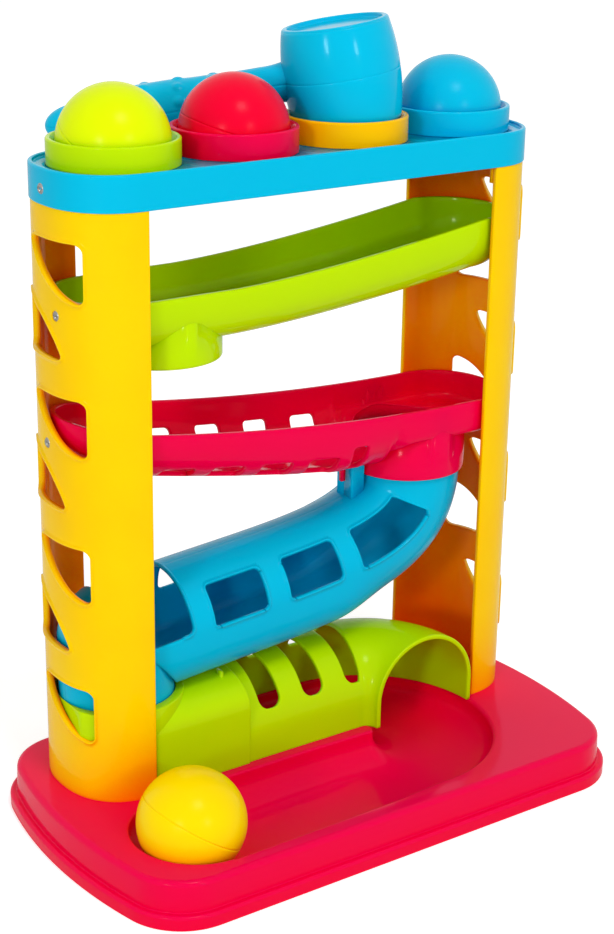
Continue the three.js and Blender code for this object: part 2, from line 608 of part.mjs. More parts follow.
// Tunnel: an arched cover that turns a right angle, and the inlet box that the tube plugs into
function archLoop(place, half, crown, foot) {
  const spring = crown - half;
  const curve = steps(6, Math.PI / 2, 0).map((t) => [half * Math.cos(t), spring + half * Math.sin(t)]);
  const right = [[0, crown], ...curve.slice(1), [half, foot], [0, foot]];
  const left = right.slice(1, -1).reverse().map(([a, z]) => [-a, z]);
  return [...right, ...left].map(([a, z]) => place(a, z));
}
function archSweep(shrink, from, foot, extend) {
  const y = -tunnel.offset;
  const stations = [[from, y, 0], [pivotX, y, 0]];
  steps(6, 0, 1).slice(1).forEach((share) => {
    const angle = Math.PI / 2 * (1 - share);
    const x = pivotX + tunnel.turnRadius * Math.cos(angle);
    const turnY = pivotY + tunnel.turnRadius * Math.sin(angle);
    stations.push([x, turnY, -Math.PI / 2 * share]);
  });
  if (extend) stations.push([pivotX + tunnel.turnRadius, pivotY - extend, -Math.PI / 2]);
  return skin(stations.map(([x, centreY, along]) => archLoop(
    (a, z) => new THREE.Vector3(x - Math.sin(along) * a, centreY + Math.cos(along) * a, z),
    tunnel.halfWidth - shrink, tunnel.crownHeight - shrink, foot)));
}
function makeTunnelArch() {
  const from = jointX + gap;
  const inner = archSweep(tunnel.wallThickness, from - overrun, base.height - overrun, overrun);
  let body = archSweep(0, from, base.height, 0).subtract(inner);
  const reach = tunnel.halfWidth + overrun;
  [0, 1, 2].forEach((n) => {
    const x = innerX - tunnel.firstSlotInset + n * tunnel.slotPitch;
    const w = tunnel.slotWidth / 2;
    const z = tunnel.slotHeight;
    const top = tunnel.crownHeight + overrun;
    const slot = shapeOf([
      [x - w, top], [x - w, z + w * 0.8], [x - w * 0.72, z + w * 0.24], [x - w * 0.3, z], [x + w * 0.3, z],
      [x + w * 0.72, z + w * 0.24], [x + w, z + w * 0.8], [x + w, top]]);
    body = body.subtract(prismY(slot, -tunnel.offset - reach, reach - tunnel.offset));
  });
  return body;
}
function makeTunnelInlet() {
  const half = tunnel.halfWidth + tunnel.sleeveThickness;
  const crown = tunnel.crownHeight + tunnel.sleeveThickness;
  const y = -tunnel.offset;
  const low = base.height;
  const wall = tunnel.wallThickness;
  const roof = tunnel.crownHeight + overrun;
  const arch = (h, c, to, foot) => skin([tubeEndX, to].map((x) => archLoop(
    (a, z) => new THREE.Vector3(x, y + a, z), h, c, foot)));
  const collar = tube.radius + gap + wall;
  const outside = arch(half, crown, jointX, low)
    .add(cylinder(half, low, tunnel.collarHeight, tubeEndX, y))
    .add(cylinder(collar, low, tunnel.collarHeight, tubeEndX, 0));
  const inside = arch(half - wall, crown - wall, jointX + overrun, low - overrun)
    .add(cylinder(half - wall, low - overrun, outletZ - wall, tubeEndX, y));
  const throat = cylinder(tube.radius + gap, outletZ - gap, roof, tubeEndX, 0, tubeCount);
  const drop = cylinder(tube.radius - wall / 2, low - overrun, tunnel.crownHeight, tubeEndX, 0, tubeCount);
  const reach = half + overrun;
  const clear = innerX - gap;
  const end = ovalHalf(tower.wallThickness + gap).map(([x, to]) => [-x, to]);
  const endPlan = [[gap - clear, end[0][1]], ...end, [gap - clear, -end[0][1]]];
  const nest = block([-clear, -reach, low], [jointX, reach, roof]).add(prismZ(shapeOf(endPlan), low, roof));
  return outside.intersect(nest).subtract(inside.subtract(cylinder(collar, low, roof, tubeEndX, 0)))
    .subtract(throat).subtract(drop)
    .subtract(block([tubeEndX - reach, -reach, tunnel.collarHeight], [tubeEndX, reach, roof]));
}

// Hammer: two half shells that meet in the plane of the handle
const gripShares = [
  [0.154, 0.81], [0.215, 0.61], [0.31, 0.71], [0.36, 0.76], [0.43, 0.89], [0.55, 1], [0.68, 0.99], [0.8, 0.87],
  [0.9, 0.67], [0.96, 0.5], [1, 0],
];
function hammerHead(shrink) {
  const face = hammer.headHalfLength;
  const bulge = hammer.bellyRadius - hammer.faceRadius;
  const sink = hammer.faceDepth;
  const rimIn = hammer.faceRadius - hammer.rimWidth;
  const soft = hammer.edgeRadius;
  const belly = (height, count) => steps(count, -1, 1).map((t) => [
    hammer.bellyRadius - shrink - bulge * t * t, height * t]);
  const inner = face - sink - shrink;
  const side = shrink ? belly(inner, 2) : belly(face - soft, 4);
  const cap = shrink ? [[0, inner]] : [
    [hammer.faceRadius - soft, face], [rimIn, face], [rimIn - soft, face - sink], [0, face - sink]];
  const foot = [...cap].reverse().map(([r, z]) => [r, -z]);
  return revolve([...foot, ...side, ...cap], 0, 0);
}
function hammerHandle(shrink) {
  const long = hammer.handleLength;
  const profile = gripShares.map(([share, width]) => [
    Math.max(width * hammer.gripRadius - shrink, 0), Math.min(share * long, long - shrink)]);
  const start = profile[0][1] / 2;
  const closed = [[0, start], [profile[0][0], start], ...profile];
  const geometry = new THREE.LatheGeometry(closed.map(([r, d]) => new THREE.Vector2(r, d)), 12);
  geometry.rotateZ(-Math.PI / 2);
  return solid(geometry);
}
function makeHammer() {
  const body = hammerHead(0).add(hammerHandle(0))
    .subtract(hammerHead(hammer.wallThickness).add(hammerHandle(hammer.wallThickness)));
  const far = hammer.handleLength + overrun;
  const slope = degrees(hammerSlope);
  const yaw = degrees(hammerYaw);
  const lean = new THREE.Vector3(
    -Math.sin(slope) * Math.cos(yaw), Math.sin(slope) * Math.sin(yaw), Math.cos(slope));
  const back = new THREE.Vector3(Math.cos(yaw), -Math.sin(yaw), 0);
  const group = new THREE.Group();
  group.position.set(ringPlaces[2], 0, ring.topHeight)
    .addScaledVector(lean, hammer.seatHeight).addScaledVector(back, hammer.seatShift);
  group.rotation.set(0, slope, Math.PI - yaw, 'ZYX');
  const upper = body.intersect(block([-far, -far, seamHalf], [far, far, far]));
  const lower = body.intersect(block([-far, -far, -far], [far, far, -seamHalf]));
  group.add(mesh('hammer_upper_shell', upper, plastic(colours.blue)));
  group.add(mesh('hammer_lower_shell', lower, plastic(colours.blue)));
  return group;
}

// Assembly
const model = new THREE.Group();
model.add(mesh('base_tray', makeBase(), plastic(colours.red)));

const upright = new THREE.Group();
upright.position.y = tower.setBack;
model.add(upright);

const deckSeat = deckOuterX - screw.sinkDepth;
const seatAt = (y) => panelInnerX(y) + tower.wallThickness - screw.sinkDepth;
function finishedPanel(side) {
  let body = makePanel();
  fixings.forEach((f) => { body = drilled(body, f.y, side > 0 ? f.right : f.left, seatAt(f.y)); });
  return body.subtract(cylinderX(screw.shankRadius + gap, innerX, deckOuterX, 0, screw.deckHeight));
}
upright.add(mesh('left_end_panel', bothWays(finishedPanel(-1)), plastic(colours.yellow)));
upright.add(mesh('right_end_panel', finishedPanel(1), plastic(colours.yellow)));

const deckRight = drilled(makeDeck(), 0, screw.deckHeight, deckSeat);
const deckBody = drilled(bothWays(deckRight), 0, screw.deckHeight, deckSeat);
upright.add(mesh('top_deck', deckBody, plastic(colours.blue)));

const ringNames = ['green', 'red', 'yellow', 'blue'];
const ringColours = [colours.green, colours.red, colours.amber, colours.blue];
ringPlaces.forEach((x, i) => upright.add(mesh(`${ringNames[i]}_ring`, makeRing(x), plastic(ringColours[i]))));

upright.add(mesh('upper_trough', makeTrough(), plastic(colours.green)));
upright.add(mesh('middle_ramp', makeRamp(), plastic(colours.red)));
const [tubeFront, tubeBack] = makeTube();
upright.add(mesh('tube_front_half', tubeFront, plastic(colours.blue)));
upright.add(mesh('tube_back_half', tubeBack, plastic(colours.blue)));
upright.add(mesh('tunnel_inlet', makeTunnelInlet(), plastic(colours.green)));
upright.add(mesh('tunnel_arch', makeTunnelArch(), plastic(colours.green)));

upright.add(makeBall('green_ball', colours.green, ringPlaces[0], 0, ballZ, 0.5, 0.4));
upright.add(makeBall('red_ball', colours.red, ringPlaces[1], 0, ballZ, 0.3, 1.2));
upright.add(makeBall('blue_ball', colours.blue, ringPlaces[3], 0, ballZ, 0.2, -0.6));
const restX = -innerX - tray.ballReach;
const restY = tray.laneInset - base.depth / 2 - tray.endWidth - tray.ballOffset;
const restZ = tray.endFloorHeight + ball.radius + tray.ballLift;
model.add(makeBall('yellow_ball', colours.sun, restX, restY, restZ, 0.59, 1.52));
upright.add(makeHammer());

[['left', -1], ['right', 1]].forEach(([end, side]) => {
  const place = (name, y, z, seat, long) => {
    const blank = makeScrew(seat, long);
    const part = mesh(name, side > 0 ? blank : bothWays(blank), steel());
    part.position.set(0, y, z);
    upright.add(part);
  };
  fixings.forEach((f) => place(`${f.name}_${end}`, f.y, f[end], seatAt(f.y), screw.length));
  place(`deck_screw_${end}`, 0, screw.deckHeight, deckSeat, screw.shortLength);
});

export default model;
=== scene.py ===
"""Fine surfaces, finishes and stage for a toddler's ball pounding tower.

Every length in the shape functions is in millimetres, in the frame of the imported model.
"""

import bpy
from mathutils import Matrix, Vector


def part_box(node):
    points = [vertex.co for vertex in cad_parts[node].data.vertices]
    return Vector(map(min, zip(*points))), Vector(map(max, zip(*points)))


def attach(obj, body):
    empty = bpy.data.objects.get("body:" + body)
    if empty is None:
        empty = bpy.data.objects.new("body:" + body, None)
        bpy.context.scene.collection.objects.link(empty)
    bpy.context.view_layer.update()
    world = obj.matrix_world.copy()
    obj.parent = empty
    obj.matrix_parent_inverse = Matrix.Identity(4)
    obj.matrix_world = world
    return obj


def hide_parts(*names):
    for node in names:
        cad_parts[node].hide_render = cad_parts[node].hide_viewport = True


bl_info = {
    "name": "Ball pounding tower",
    "version": (1, 0, 0),
    "blender": (4, 5, 0),
    "location": "View3D > Sidebar > Tower",
    "description": "Builds the moulded surfaces of a ball pounding tower over its packed frame",
    "category": "Add Mesh",
}

from collections import namedtuple

import bmesh
import bpy
import numpy as np
from mathutils import Matrix, Vector
from mathutils.geometry import delaunay_2d_cdt

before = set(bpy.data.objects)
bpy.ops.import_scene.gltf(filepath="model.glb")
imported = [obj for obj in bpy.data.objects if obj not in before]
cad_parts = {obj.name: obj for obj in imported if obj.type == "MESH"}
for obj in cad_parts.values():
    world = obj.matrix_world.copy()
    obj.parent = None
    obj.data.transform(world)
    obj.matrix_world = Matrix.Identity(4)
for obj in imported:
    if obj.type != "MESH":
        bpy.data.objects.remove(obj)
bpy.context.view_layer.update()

# Places that several pieces share; the tower stands set back from the base's middle line
TOWER_Y = 29.5
BASE_TOP = 20.5
BASE_SHIFT = 3.5
DECK_BOTTOM = 277.7
RING_TOP = 302.0
BALL_PITCH = 57.2
RING_PLACES = [n * BALL_PITCH for n in (-1.5, -0.5, 0.5, 1.5)]
PANEL_X = 88.75
COLLAR_X, OUTLET_X = 67.8, -89.6
SIDES = {"left": -1, "right": 1}
# Place from front to back and height of each screw's axis, by what it holds and its side
SCREWS = {
    ("trough", -1): (-7, 234), ("trough", 1): (-7, 238), ("ramp", -1): (2.7, 178), ("ramp", 1): (2.7, 146),
    ("deck", -1): (0, 284.2), ("deck", 1): (0, 284.2)}


# Sizes and colours that a user would change

def length(label, words, default):
    """A size in metres that the panel shows."""
    return bpy.props.FloatProperty(
        name=label, description=words, default=default, unit="LENGTH", precision=4)


def colour(label, words, value):
    """A colour that the panel shows, from its sRGB value."""
    return bpy.props.FloatVectorProperty(
        name=label, description=words, default=linear(value), subtype="COLOR", size=3, min=0, max=1)


def linear(value):
    """A six-figure sRGB value as three linear numbers."""
    parts = np.array([int(value[i:i + 2], 16) for i in (1, 3, 5)]) / 255
    return tuple(np.where(parts <= 0.04045, parts / 12.92, ((parts + 0.055) / 1.055) ** 2.4).tolist())


class TowerSizes(bpy.types.PropertyGroup):
    ball_radius: length("Ball radius", "Outside radius of each ball", 0.02335)
    edge: length("Edge softness", "Radius on the free edges of thin walls", 0.0005)
    panel_wall: length("Panel wall", "Thickness of the end panels", 0.0024)
    trough_wall: length("Trough wall", "Thickness of the trough, the ramp and the tunnel", 0.0022)
    tube_wall: length("Tube wall", "Thickness of the tube halves", 0.00175)
    window_lip: length("Window lip", "Height of the raised border of the panel windows", 0.0008)
    handle_length: length("Handle length", "From the middle of the hammer head to the handle's end", 0.130)


class TowerColours(bpy.types.PropertyGroup):
    red: colour("Red", "Base, ramp and second ring", "#EB0048")
    yellow: colour("Yellow", "End panels", "#FDD000")
    amber: colour("Amber", "Third ring", "#FCC000")
    blue: colour("Blue", "Deck, tube, hammer and fourth ring", "#00BADF")
    green: colour("Green", "Trough, tunnel and first ring", "#BCE200")
    green_ball: colour("Green ball", "Ball in the first ring", "#DDF000")
    red_ball: colour("Red ball", "Ball in the second ring", "#EE0030")
    blue_ball: colour("Blue ball", "Ball in the fourth ring", "#00B8DC")
    yellow_ball: colour("Yellow ball", "Ball in the tray", "#FDDC00")
    steel: colour("Screw steel", "Plated screws", "#A8A8A4")
    floor: colour("Floor", "Floor of the stage", "#F4F4F4")


# Painted shade: the deeper colour each one is mixed towards where ambient occlusion finds walls close by,
# standing in for shade and light bounced between walls
PAINTED_SHADES = {
    "red": "#F0001C", "yellow": "#FF5A00", "amber": "#FFA800", "blue": "#00A6D8", "green": "#A6D800",
    "green_ball": "#B8E000", "red_ball": "#E60024", "blue_ball": "#009CD0", "yellow_ball": "#FFB000"}


def sizes():
    """The sizes as the user has set them."""
    return bpy.context.scene.tower_sizes


def mm(value):
    """Metres as millimetres."""
    return value * 1000.0


# Points, faces and edges

def round_turn(count):
    """Angles evenly round a full turn."""
    return np.arange(count) * 2 * np.pi / count


def table(rows, columns):
    """Two parameters over a table, one along the rows and one along the columns, as (first, last, count)."""
    return np.meshgrid(np.linspace(*rows), np.linspace(*columns), indexing="ij")


def grid(rows, columns, close_rows=False, close_columns=False):
    """Four-sided faces over a table of points, row after row."""
    i, j = np.arange(rows - (not close_rows))[:, None], np.arange(columns - (not close_columns))
    near, far = i * columns, (i + 1) % rows * columns
    beside = (j + 1) % columns
    return np.stack([near + j, far + j, far + beside, near + beside], -1).reshape(-1, 4)


def joined(*skins):
    """Several (points, faces) pairs as one."""
    points, faces, start = [], [], 0
    for p, f in skins:
        p, f = np.reshape(p, (-1, 3)), np.asarray(f)
        if f.shape[1] == 3:
            f = np.column_stack([f, f[:, 2]])
        points.append(p)
        faces.append(f + start)
        start += len(p)
    return np.vstack(points), np.vstack(faces)


def unit(vectors):
    """Vectors divided by their own lengths."""
    return vectors / np.maximum(np.linalg.norm(vectors, axis=-1, keepdims=True), 1e-9)


def make_piece(name, skin, finish, body, replaced):
    """Puts points and faces into a mesh, sews coincident points and sets what it rides on and stands for."""
    points, faces = skin
    used = faces != np.roll(faces, -1, axis=1)
    counts = used.sum(1)
    good = counts >= 3
    used, faces, counts = used[good], faces[good], counts[good]
    mesh = bpy.data.meshes.new(name)
    mesh.vertices.add(len(points))
    mesh.vertices.foreach_set("co", (points * 0.001).astype(np.float32).ravel())
    mesh.loops.add(int(counts.sum()))
    mesh.loops.foreach_set("vertex_index", faces[used].astype(np.int32))
    mesh.polygons.add(len(counts))
    mesh.polygons.foreach_set("loop_start", np.concatenate([[0], np.cumsum(counts)[:-1]]).astype(np.int32))
    mesh.polygons.foreach_set("loop_total", counts.astype(np.int32))
    mesh.update(calc_edges=True)
    work = bmesh.new()
    work.from_mesh(mesh)
    bmesh.ops.remove_doubles(work, verts=work.verts, dist=2e-6)
    bmesh.ops.dissolve_degenerate(work, edges=work.edges, dist=1e-6)
    bmesh.ops.recalc_face_normals(work, faces=work.faces)
    work.to_mesh(mesh)
    work.free()
    mesh.polygons.foreach_set("use_smooth", np.ones(len(mesh.polygons), bool))
    mesh.materials.append(finish)
    mesh.validate()
    piece = bpy.data.objects.new(name, mesh)
    bpy.context.scene.collection.objects.link(piece)
    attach(piece, body)
    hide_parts(*replaced)


def tower_piece(node, skin, key):
    """A fine piece of the tower for one node, set back with the tower, in one of its colours."""
    points, faces = skin
    make_piece(f"{node}_fine", (points + np.array([0, TOWER_Y, 0]), faces), finish_for(key), "tower", [node])


def rounded(corners, closed=False, arc=4):
    """A profile whose corners (a, b, radius) become arcs tangent to both sides.

    An arc's points are spaced evenly in angle, and a point on each side holds it a little way off.
    """
    hold = 0.35
    spots = np.array([c[:2] for c in corners], float)
    out = []
    for i, (_, _, radius) in enumerate(corners):
        if radius <= 0 or (not closed and i in (0, len(corners) - 1)):
            out.append(spots[i][None])
            continue
        a, b = spots[i - 1] - spots[i], spots[(i + 1) % len(spots)] - spots[i]
        far_a, far_b = np.linalg.norm(a), np.linalg.norm(b)
        a, b = a / far_a, b / far_b
        half = np.arccos(np.clip(a @ b, -0.9999, 0.9999)) / 2
        back = min(radius / np.tan(half), 0.49 * far_a, 0.49 * far_b)
        middle = spots[i] + (a + b) / np.linalg.norm(a + b) * back / np.cos(half)
        sweep = np.pi - 2 * half
        t = np.linspace(0, 1, arc + 1)[:, None]
        start, end = spots[i] + a * back - middle, spots[i] + b * back - middle
        bend = (np.sin((1 - t) * sweep) * start + np.sin(t * sweep) * end) / np.sin(sweep)
        out += [(spots[i] + a * min(back + hold, far_a / 2))[None], middle + bend,
                (spots[i] + b * min(back + hold, far_b / 2))[None]]
    return np.vstack(out)


def revolved(profile, x, y, count=112, closed=True):
    """A profile of (radius, height) carried round a vertical axis at (x, y)."""
    turn = round_turn(count)
    r, z = np.asarray(profile).T[..., None]
    points = np.stack([x + r * np.cos(turn), y + r * np.sin(turn), z + 0 * turn], -1)
    return points.reshape(-1, 3), grid(len(profile), count, closed, True)


def swept_loop(outline, outward, profile):
    """A profile of (inset, height) carried round a closed plan outline, set in along its outward normals."""
    inset, z = profile[:, 0][:, None, None], profile[:, 1][:, None]
    plan = outline[None] - inset * outward[None]
    points = np.concatenate([plan, np.broadcast_to(z[..., None], plan.shape[:2] + (1,))], -1)
    return points.reshape(-1, 3), grid(len(profile), len(outline), False, True)


def inside(points, loop):
    """Which points lie within a closed plan loop, by counting the edges to their right."""
    x, y = points[:, 0][:, None], points[:, 1][:, None]
    a, b = loop, np.roll(loop, -1, axis=0)
    spans = (a[:, 1] > y) != (b[:, 1] > y)
    run = np.where(b[:, 1] == a[:, 1], 1e-12, b[:, 1] - a[:, 1])
    return (np.sum(spans & (x < (b[:, 0] - a[:, 0]) * (y - a[:, 1]) / run + a[:, 0]), axis=1) % 2) == 1


def flat(outer, holes, z):
    """A level sheet between an outer plan loop and the loops of its holes."""
    loops = [outer, *holes]
    starts = np.cumsum([0] + [len(p) for p in loops])
    edges = [(int(s + i), int(s + (i + 1) % len(p))) for s, p in zip(starts, loops) for i in range(len(p))]
    verts, _, tris, *_ = delaunay_2d_cdt([Vector(p) for p in np.vstack(loops)], edges, [], 0, 1e-7, False)
    plan = np.array([(v.x, v.y) for v in verts])
    tris = np.array(tris)
    centre = plan[tris].mean(1)
    keep = inside(centre, outer)
    for hole in holes:
        keep &= ~inside(centre, hole)
    return np.column_stack([plan, np.full(len(plan), float(z))]), tris[keep]


def cut(u, v, keep):
    """Takes the region where keep(u, v) is negative out of a parameter table.

    Points within half a step of the region's border slide onto it along the slope of keep, so the
    hole follows the border smoothly; faces inside go, and a face that straddles a corner is halved.
    The table's own outer rows and columns stay on its edges.
    """
    rows, columns = u.shape
    step_u, step_v = u[1, 0] - u[0, 0], v[0, 1] - v[0, 0]
    u, v = u.copy(), v.copy()
    near = None
    for _ in range(4):
        f = keep(u, v)
        slope_u = (keep(u + 0.01 * step_u, v) - f) / 0.01
        slope_v = (keep(u, v + 0.01 * step_v) - f) / 0.01
        slope_u[[0, -1]] = 0
        slope_v[:, [0, -1]] = 0
        steep = slope_u ** 2 + slope_v ** 2 + 1e-12
        if near is None:
            near = np.abs(f) < 0.56 * np.sqrt(steep)
        move = np.where(near, np.clip(f / steep, -0.7, 0.7), 0)
        u -= move * slope_u * step_u
        v -= move * slope_v * step_v
    side = np.where(near, 0, np.sign(keep(u, v))).ravel()
    faces = grid(rows, columns)
    marks = side[faces]
    middle = keep(u.ravel()[faces].mean(1), v.ravel()[faces].mean(1))
    solid = (marks >= 0).all(1) & ((marks > 0).any(1) | (middle > 0))
    halved = ((marks < 0).sum(1) == 1) & (marks > 0).any(1)
    first = np.argmax(marks < 0, axis=1)
    turned = np.take_along_axis(faces, (first[:, None] + np.arange(1, 5)) % 4, 1)[halved]
    turned[:, 3] = turned[:, 2]
    return u, v, np.vstack([faces[solid], turned]), near.ravel()


def walled(outer, inner, faces, rims, kind=None, sewn=None):
    """Closes an outer and an inner sheet over one set of faces.

    Every open border gets a strip whose rows are (out, down, from the inner sheet) steps: out of the
    border along the surface, and down through the wall from the outer or the inner sheet.
    kind picks one of several rims for each point, and borders between sewn points stay open.
    """
    outer, inner = outer.reshape(-1, 3), inner.reshape(-1, 3)
    count = len(outer)
    through = unit(outer - inner)
    p = outer[faces]
    facing = np.einsum("ij,ij->i", np.cross(p[:, 1] - p[:, 0], p[:, 2] - p[:, 0]), through[faces[:, 0]])
    if np.sum(facing) < 0:
        faces = faces[:, ::-1]
    start, end = faces.ravel(), np.roll(faces, -1, axis=1).ravel()
    real = start != end
    start, end = start[real], end[real]
    open_ = ~np.isin(start * count + end, end * count + start)
    if sewn is not None:
        open_ &= ~(sewn[start] & sewn[end])
    start, end = start[open_], end[open_]
    ahead, behind = np.arange(count), np.arange(count)
    ahead[start], behind[end] = end, start
    border = np.unique(np.concatenate([start, end]))
    along = unit(outer[ahead[border]] - outer[behind[border]])
    up = through[border]
    out = unit(np.cross(along, up))
    steps = np.array(rims, float)[0 if kind is None else kind[border]]
    steps = np.moveaxis(np.broadcast_to(steps, (len(border), *steps.shape[-2:])), 1, 0)
    rows = [np.where(step[:, 2:], inner[border], outer[border]) + out * step[:, :1] - up * step[:, 1:2]
            for step in steps]
    place = np.full(count, -1)
    place[border] = np.arange(len(border))
    added = 2 * count + np.arange(len(rows) * len(border)).reshape(len(rows), -1)
    lines = [border, *added, border + count]
    a, b = place[start], place[end]
    strips = [np.column_stack([low[b], low[a], high[a], high[b]]) for low, high in zip(lines[:-1], lines[1:])]
    points = np.vstack([outer, inner, *rows])
    return points, np.vstack([faces, faces[:, ::-1] + count, *strips])


def plain_rim(radius):
    """A wall's free edge with both corners rounded; steps are (out, down, from the inner sheet)."""
    s = radius * 0.7071
    return [(s, radius - s, False), (radius, radius, False), (radius, -radius, True), (s, s - radius, True)]


def lip_rim(radius, width, height):
    """A free edge that ends in a raised border of a given width and height; steps as in plain_rim."""
    s = radius * 0.7071
    return [(0.35, -height, False), (width - s, -height, False), (width, -radius, True),
            (width - s, s - radius, True)]


def smooth_step(t):
    """Goes from 0 to 1 while t does, and starts and ends level."""
    t = np.clip(t, 0, 1)
    return t * t * (3 - 2 * t)


def follow(line, distance):
    """Places on a plan line at distances along it, and the normals to the right of travel."""
    run = np.concatenate([[0], np.cumsum(np.linalg.norm(np.diff(line, axis=0), axis=1))])
    slope = np.gradient(line, run, axis=0)
    place = np.stack([np.interp(distance, run, line[:, i]) for i in (0, 1)], -1)
    slope = unit(np.stack([np.interp(distance, run, slope[:, i]) for i in (0, 1)], -1))
    return place, np.stack([slope[..., 1], -slope[..., 0]], -1)


def even(line, count):
    """A closed plan line as evenly spaced points with their outward normals."""
    total = np.linalg.norm(np.diff(line, axis=0), axis=1).sum()
    return follow(line, np.arange(count) * total / count)


def softened(sides, radius):
    """Below zero where every one of several fields is; where they meet, the border is an arc."""
    sides = np.stack(sides) + radius
    return np.minimum(sides.max(0), 0) + np.linalg.norm(np.maximum(sides, 0), axis=0) - radius


def box_field(a, b, half_a, half_b, radius):
    """Below zero inside a rectangle of given half sides whose corners are rounded."""
    return softened([np.abs(a) - half_a, np.abs(b) - half_b], radius)


def brick(low, high):
    """A box between two corners."""
    corner = np.array([[x, y, z] for z in (low[2], high[2]) for x, y in (
        (low[0], low[1]), (high[0], low[1]), (high[0], high[1]), (low[0], high[1]))])
    return corner, np.array([
        [3, 2, 1, 0], [4, 5, 6, 7], [0, 1, 5, 4], [1, 2, 6, 5], [2, 3, 7, 6], [3, 0, 4, 7]])


# Base

BASE_WALL = 2.2
PLATE_UNDER = BASE_TOP - BASE_WALL
PLATE_INSET = 8.5
BASE_HALF_DEPTH = 76
END_RADIUS, END_MIDDLE = 235, -101.5
BASE_CORNER = 29.7
FLANGE = 6.6
BACK_LANE_Y, BACK_LANE_HALF = 28.3, 25.5
# Radius of the tray's middle line and half its width at the start, middle and end of the turn
TURN_PIVOT = (24.0, -4.9)
TURN_RADII, TURN_HALVES = (33.2, 31.3, 28.4), (25.5, 28.6, 27.0)
# Half the front lane's width at three stops from its end to the turn, and its inner rim at the last two
FRONT_STOPS, FRONT_HALVES, FRONT_RIMS = (-87.5, -5, 24), (29.2, 28.5, 27.0), (-5.5, -6.3)
TRAY_FLOOR, TRAY_FALL = 8.5, 6.2
TRAY_POWER = 2.5
TRAY_RIM, TONGUE_RIM = 2.0, 1.2
RIB_HALF, RIB_BITE = 1.0, 0.6
# Cross ribs by x; long ribs by the x of an end and by y
CROSS_RIBS, CROSS_RIB_REACH = (-93.4, 0, 93.4), 71.5
LONG_RIBS = ((-121.5, -47), (-127.5, 0), (-121.5, 47))
HUB_HALF, HUB_HEIGHT = 4, 15


def base_outline(count):
    """The base's plan: a wide arc at each end, a corner arc tangent to it, and straight long sides."""
    reach, rise = END_RADIUS - BASE_CORNER, BASE_HALF_DEPTH - BASE_CORNER
    bend = np.arcsin(rise / reach)
    end = np.linspace(-bend, bend, 200)
    corner = np.linspace(bend, np.pi / 2, 120)[1:]
    middle = np.array([END_MIDDLE + reach * np.cos(bend), rise])
    right = np.vstack([
        np.column_stack([END_MIDDLE + END_RADIUS * np.cos(end), END_RADIUS * np.sin(end)]),
        middle + BASE_CORNER * np.column_stack([np.cos(corner), np.sin(corner)])])
    low = np.vstack([right[len(end):][::-1] * [1, -1], right])
    loop = np.vstack([low, -low, low[:1]])
    return even(loop - [BASE_SHIFT, 0], count)


def tray_line():
    """Stations of the hairpin tray: centre, heading, half width and height of the floor.

    The back lane is straight. The turn is a half circle about its pivot whose radius and width change
    along it. The front lane is set off from its inner rim. The floor falls evenly in each stretch.
    """
    pivot = np.array(TURN_PIVOT)
    back = np.linspace(OUTLET_X, pivot[0], 40)[:-1]
    t = np.linspace(0, 1, 90)
    angle = np.pi / 2 - np.pi * t
    radius, turn_half = [np.interp(t, [0, 0.5, 1], stops) for stops in (TURN_RADII, TURN_HALVES)]
    front = np.linspace(pivot[0], FRONT_STOPS[0], 60)[1:]
    front_half = np.interp(front, FRONT_STOPS, FRONT_HALVES)
    inner_rim = np.interp(front, FRONT_STOPS[1:], FRONT_RIMS)
    centre = np.vstack([
        np.column_stack([back, np.full(len(back), BACK_LANE_Y)]),
        pivot + radius[:, None] * np.column_stack([np.cos(angle), np.sin(angle)]),
        np.column_stack([front, inner_rim - front_half])])
    width = np.concatenate([np.full(len(back), BACK_LANE_HALF), turn_half, front_half])
    heading = np.concatenate([0 * back, -np.pi * t, np.full(len(front), -np.pi)])
    fall = np.concatenate([
        np.linspace(0, 0.2, 40)[:-1], np.linspace(0.2, 0.8, 90), np.linspace(0.8, 1, 60)[1:]])
    return centre, heading, width, TRAY_FLOOR - TRAY_FALL * fall


def tray(grow, top, rim):
    """The tray as a closed loop of rims times a section: a rounded rim, then a superellipse of power 2.5.

    The loop goes along the outer rims, round the front lane's end, back along the inner rims, where the
    rounding is smaller, and round the back lane's end.
    """
    centre, heading, width, floor = tray_line()
    count = len(width)
    left = heading + np.pi / 2
    round_end = np.linspace(-np.pi / 2, np.pi / 2, 40)[1:-1]
    turn = np.concatenate([left, heading[-1] - round_end, left[::-1] - np.pi, heading[0] + np.pi - round_end])
    caps = len(round_end)
    which = np.concatenate([
        np.arange(count), np.full(caps, count - 1), np.arange(count)[::-1], np.zeros(caps, int)])
    out = np.column_stack([np.cos(turn), np.sin(turn)])
    soft = np.where(np.arange(len(turn)) < count, rim, min(rim, TONGUE_RIM))
    wide, deep = (width + grow)[which], (top - floor + grow)[which]
    steps = np.linspace(0, np.pi / 2, 7) if rim > 0 else [np.pi / 2]
    rows = [(wide + soft * (1 - np.sin(t)), top - soft * (1 - np.cos(t))) for t in steps]
    for t in np.linspace(0, np.pi / 2, 22)[1:]:
        share, drop = np.cos(t) ** (2 / TRAY_POWER), np.sin(t) ** (2 / TRAY_POWER)
        rows.append((wide * share, top - soft - (deep - soft) * drop))
    plan = np.stack([centre[which] + out * a[:, None] for a, _ in rows])
    z = np.stack([z for _, z in rows])
    points = np.concatenate([plan, z[..., None]], -1)
    return points.reshape(-1, 3), grid(len(rows), len(turn), False, True), plan[0]


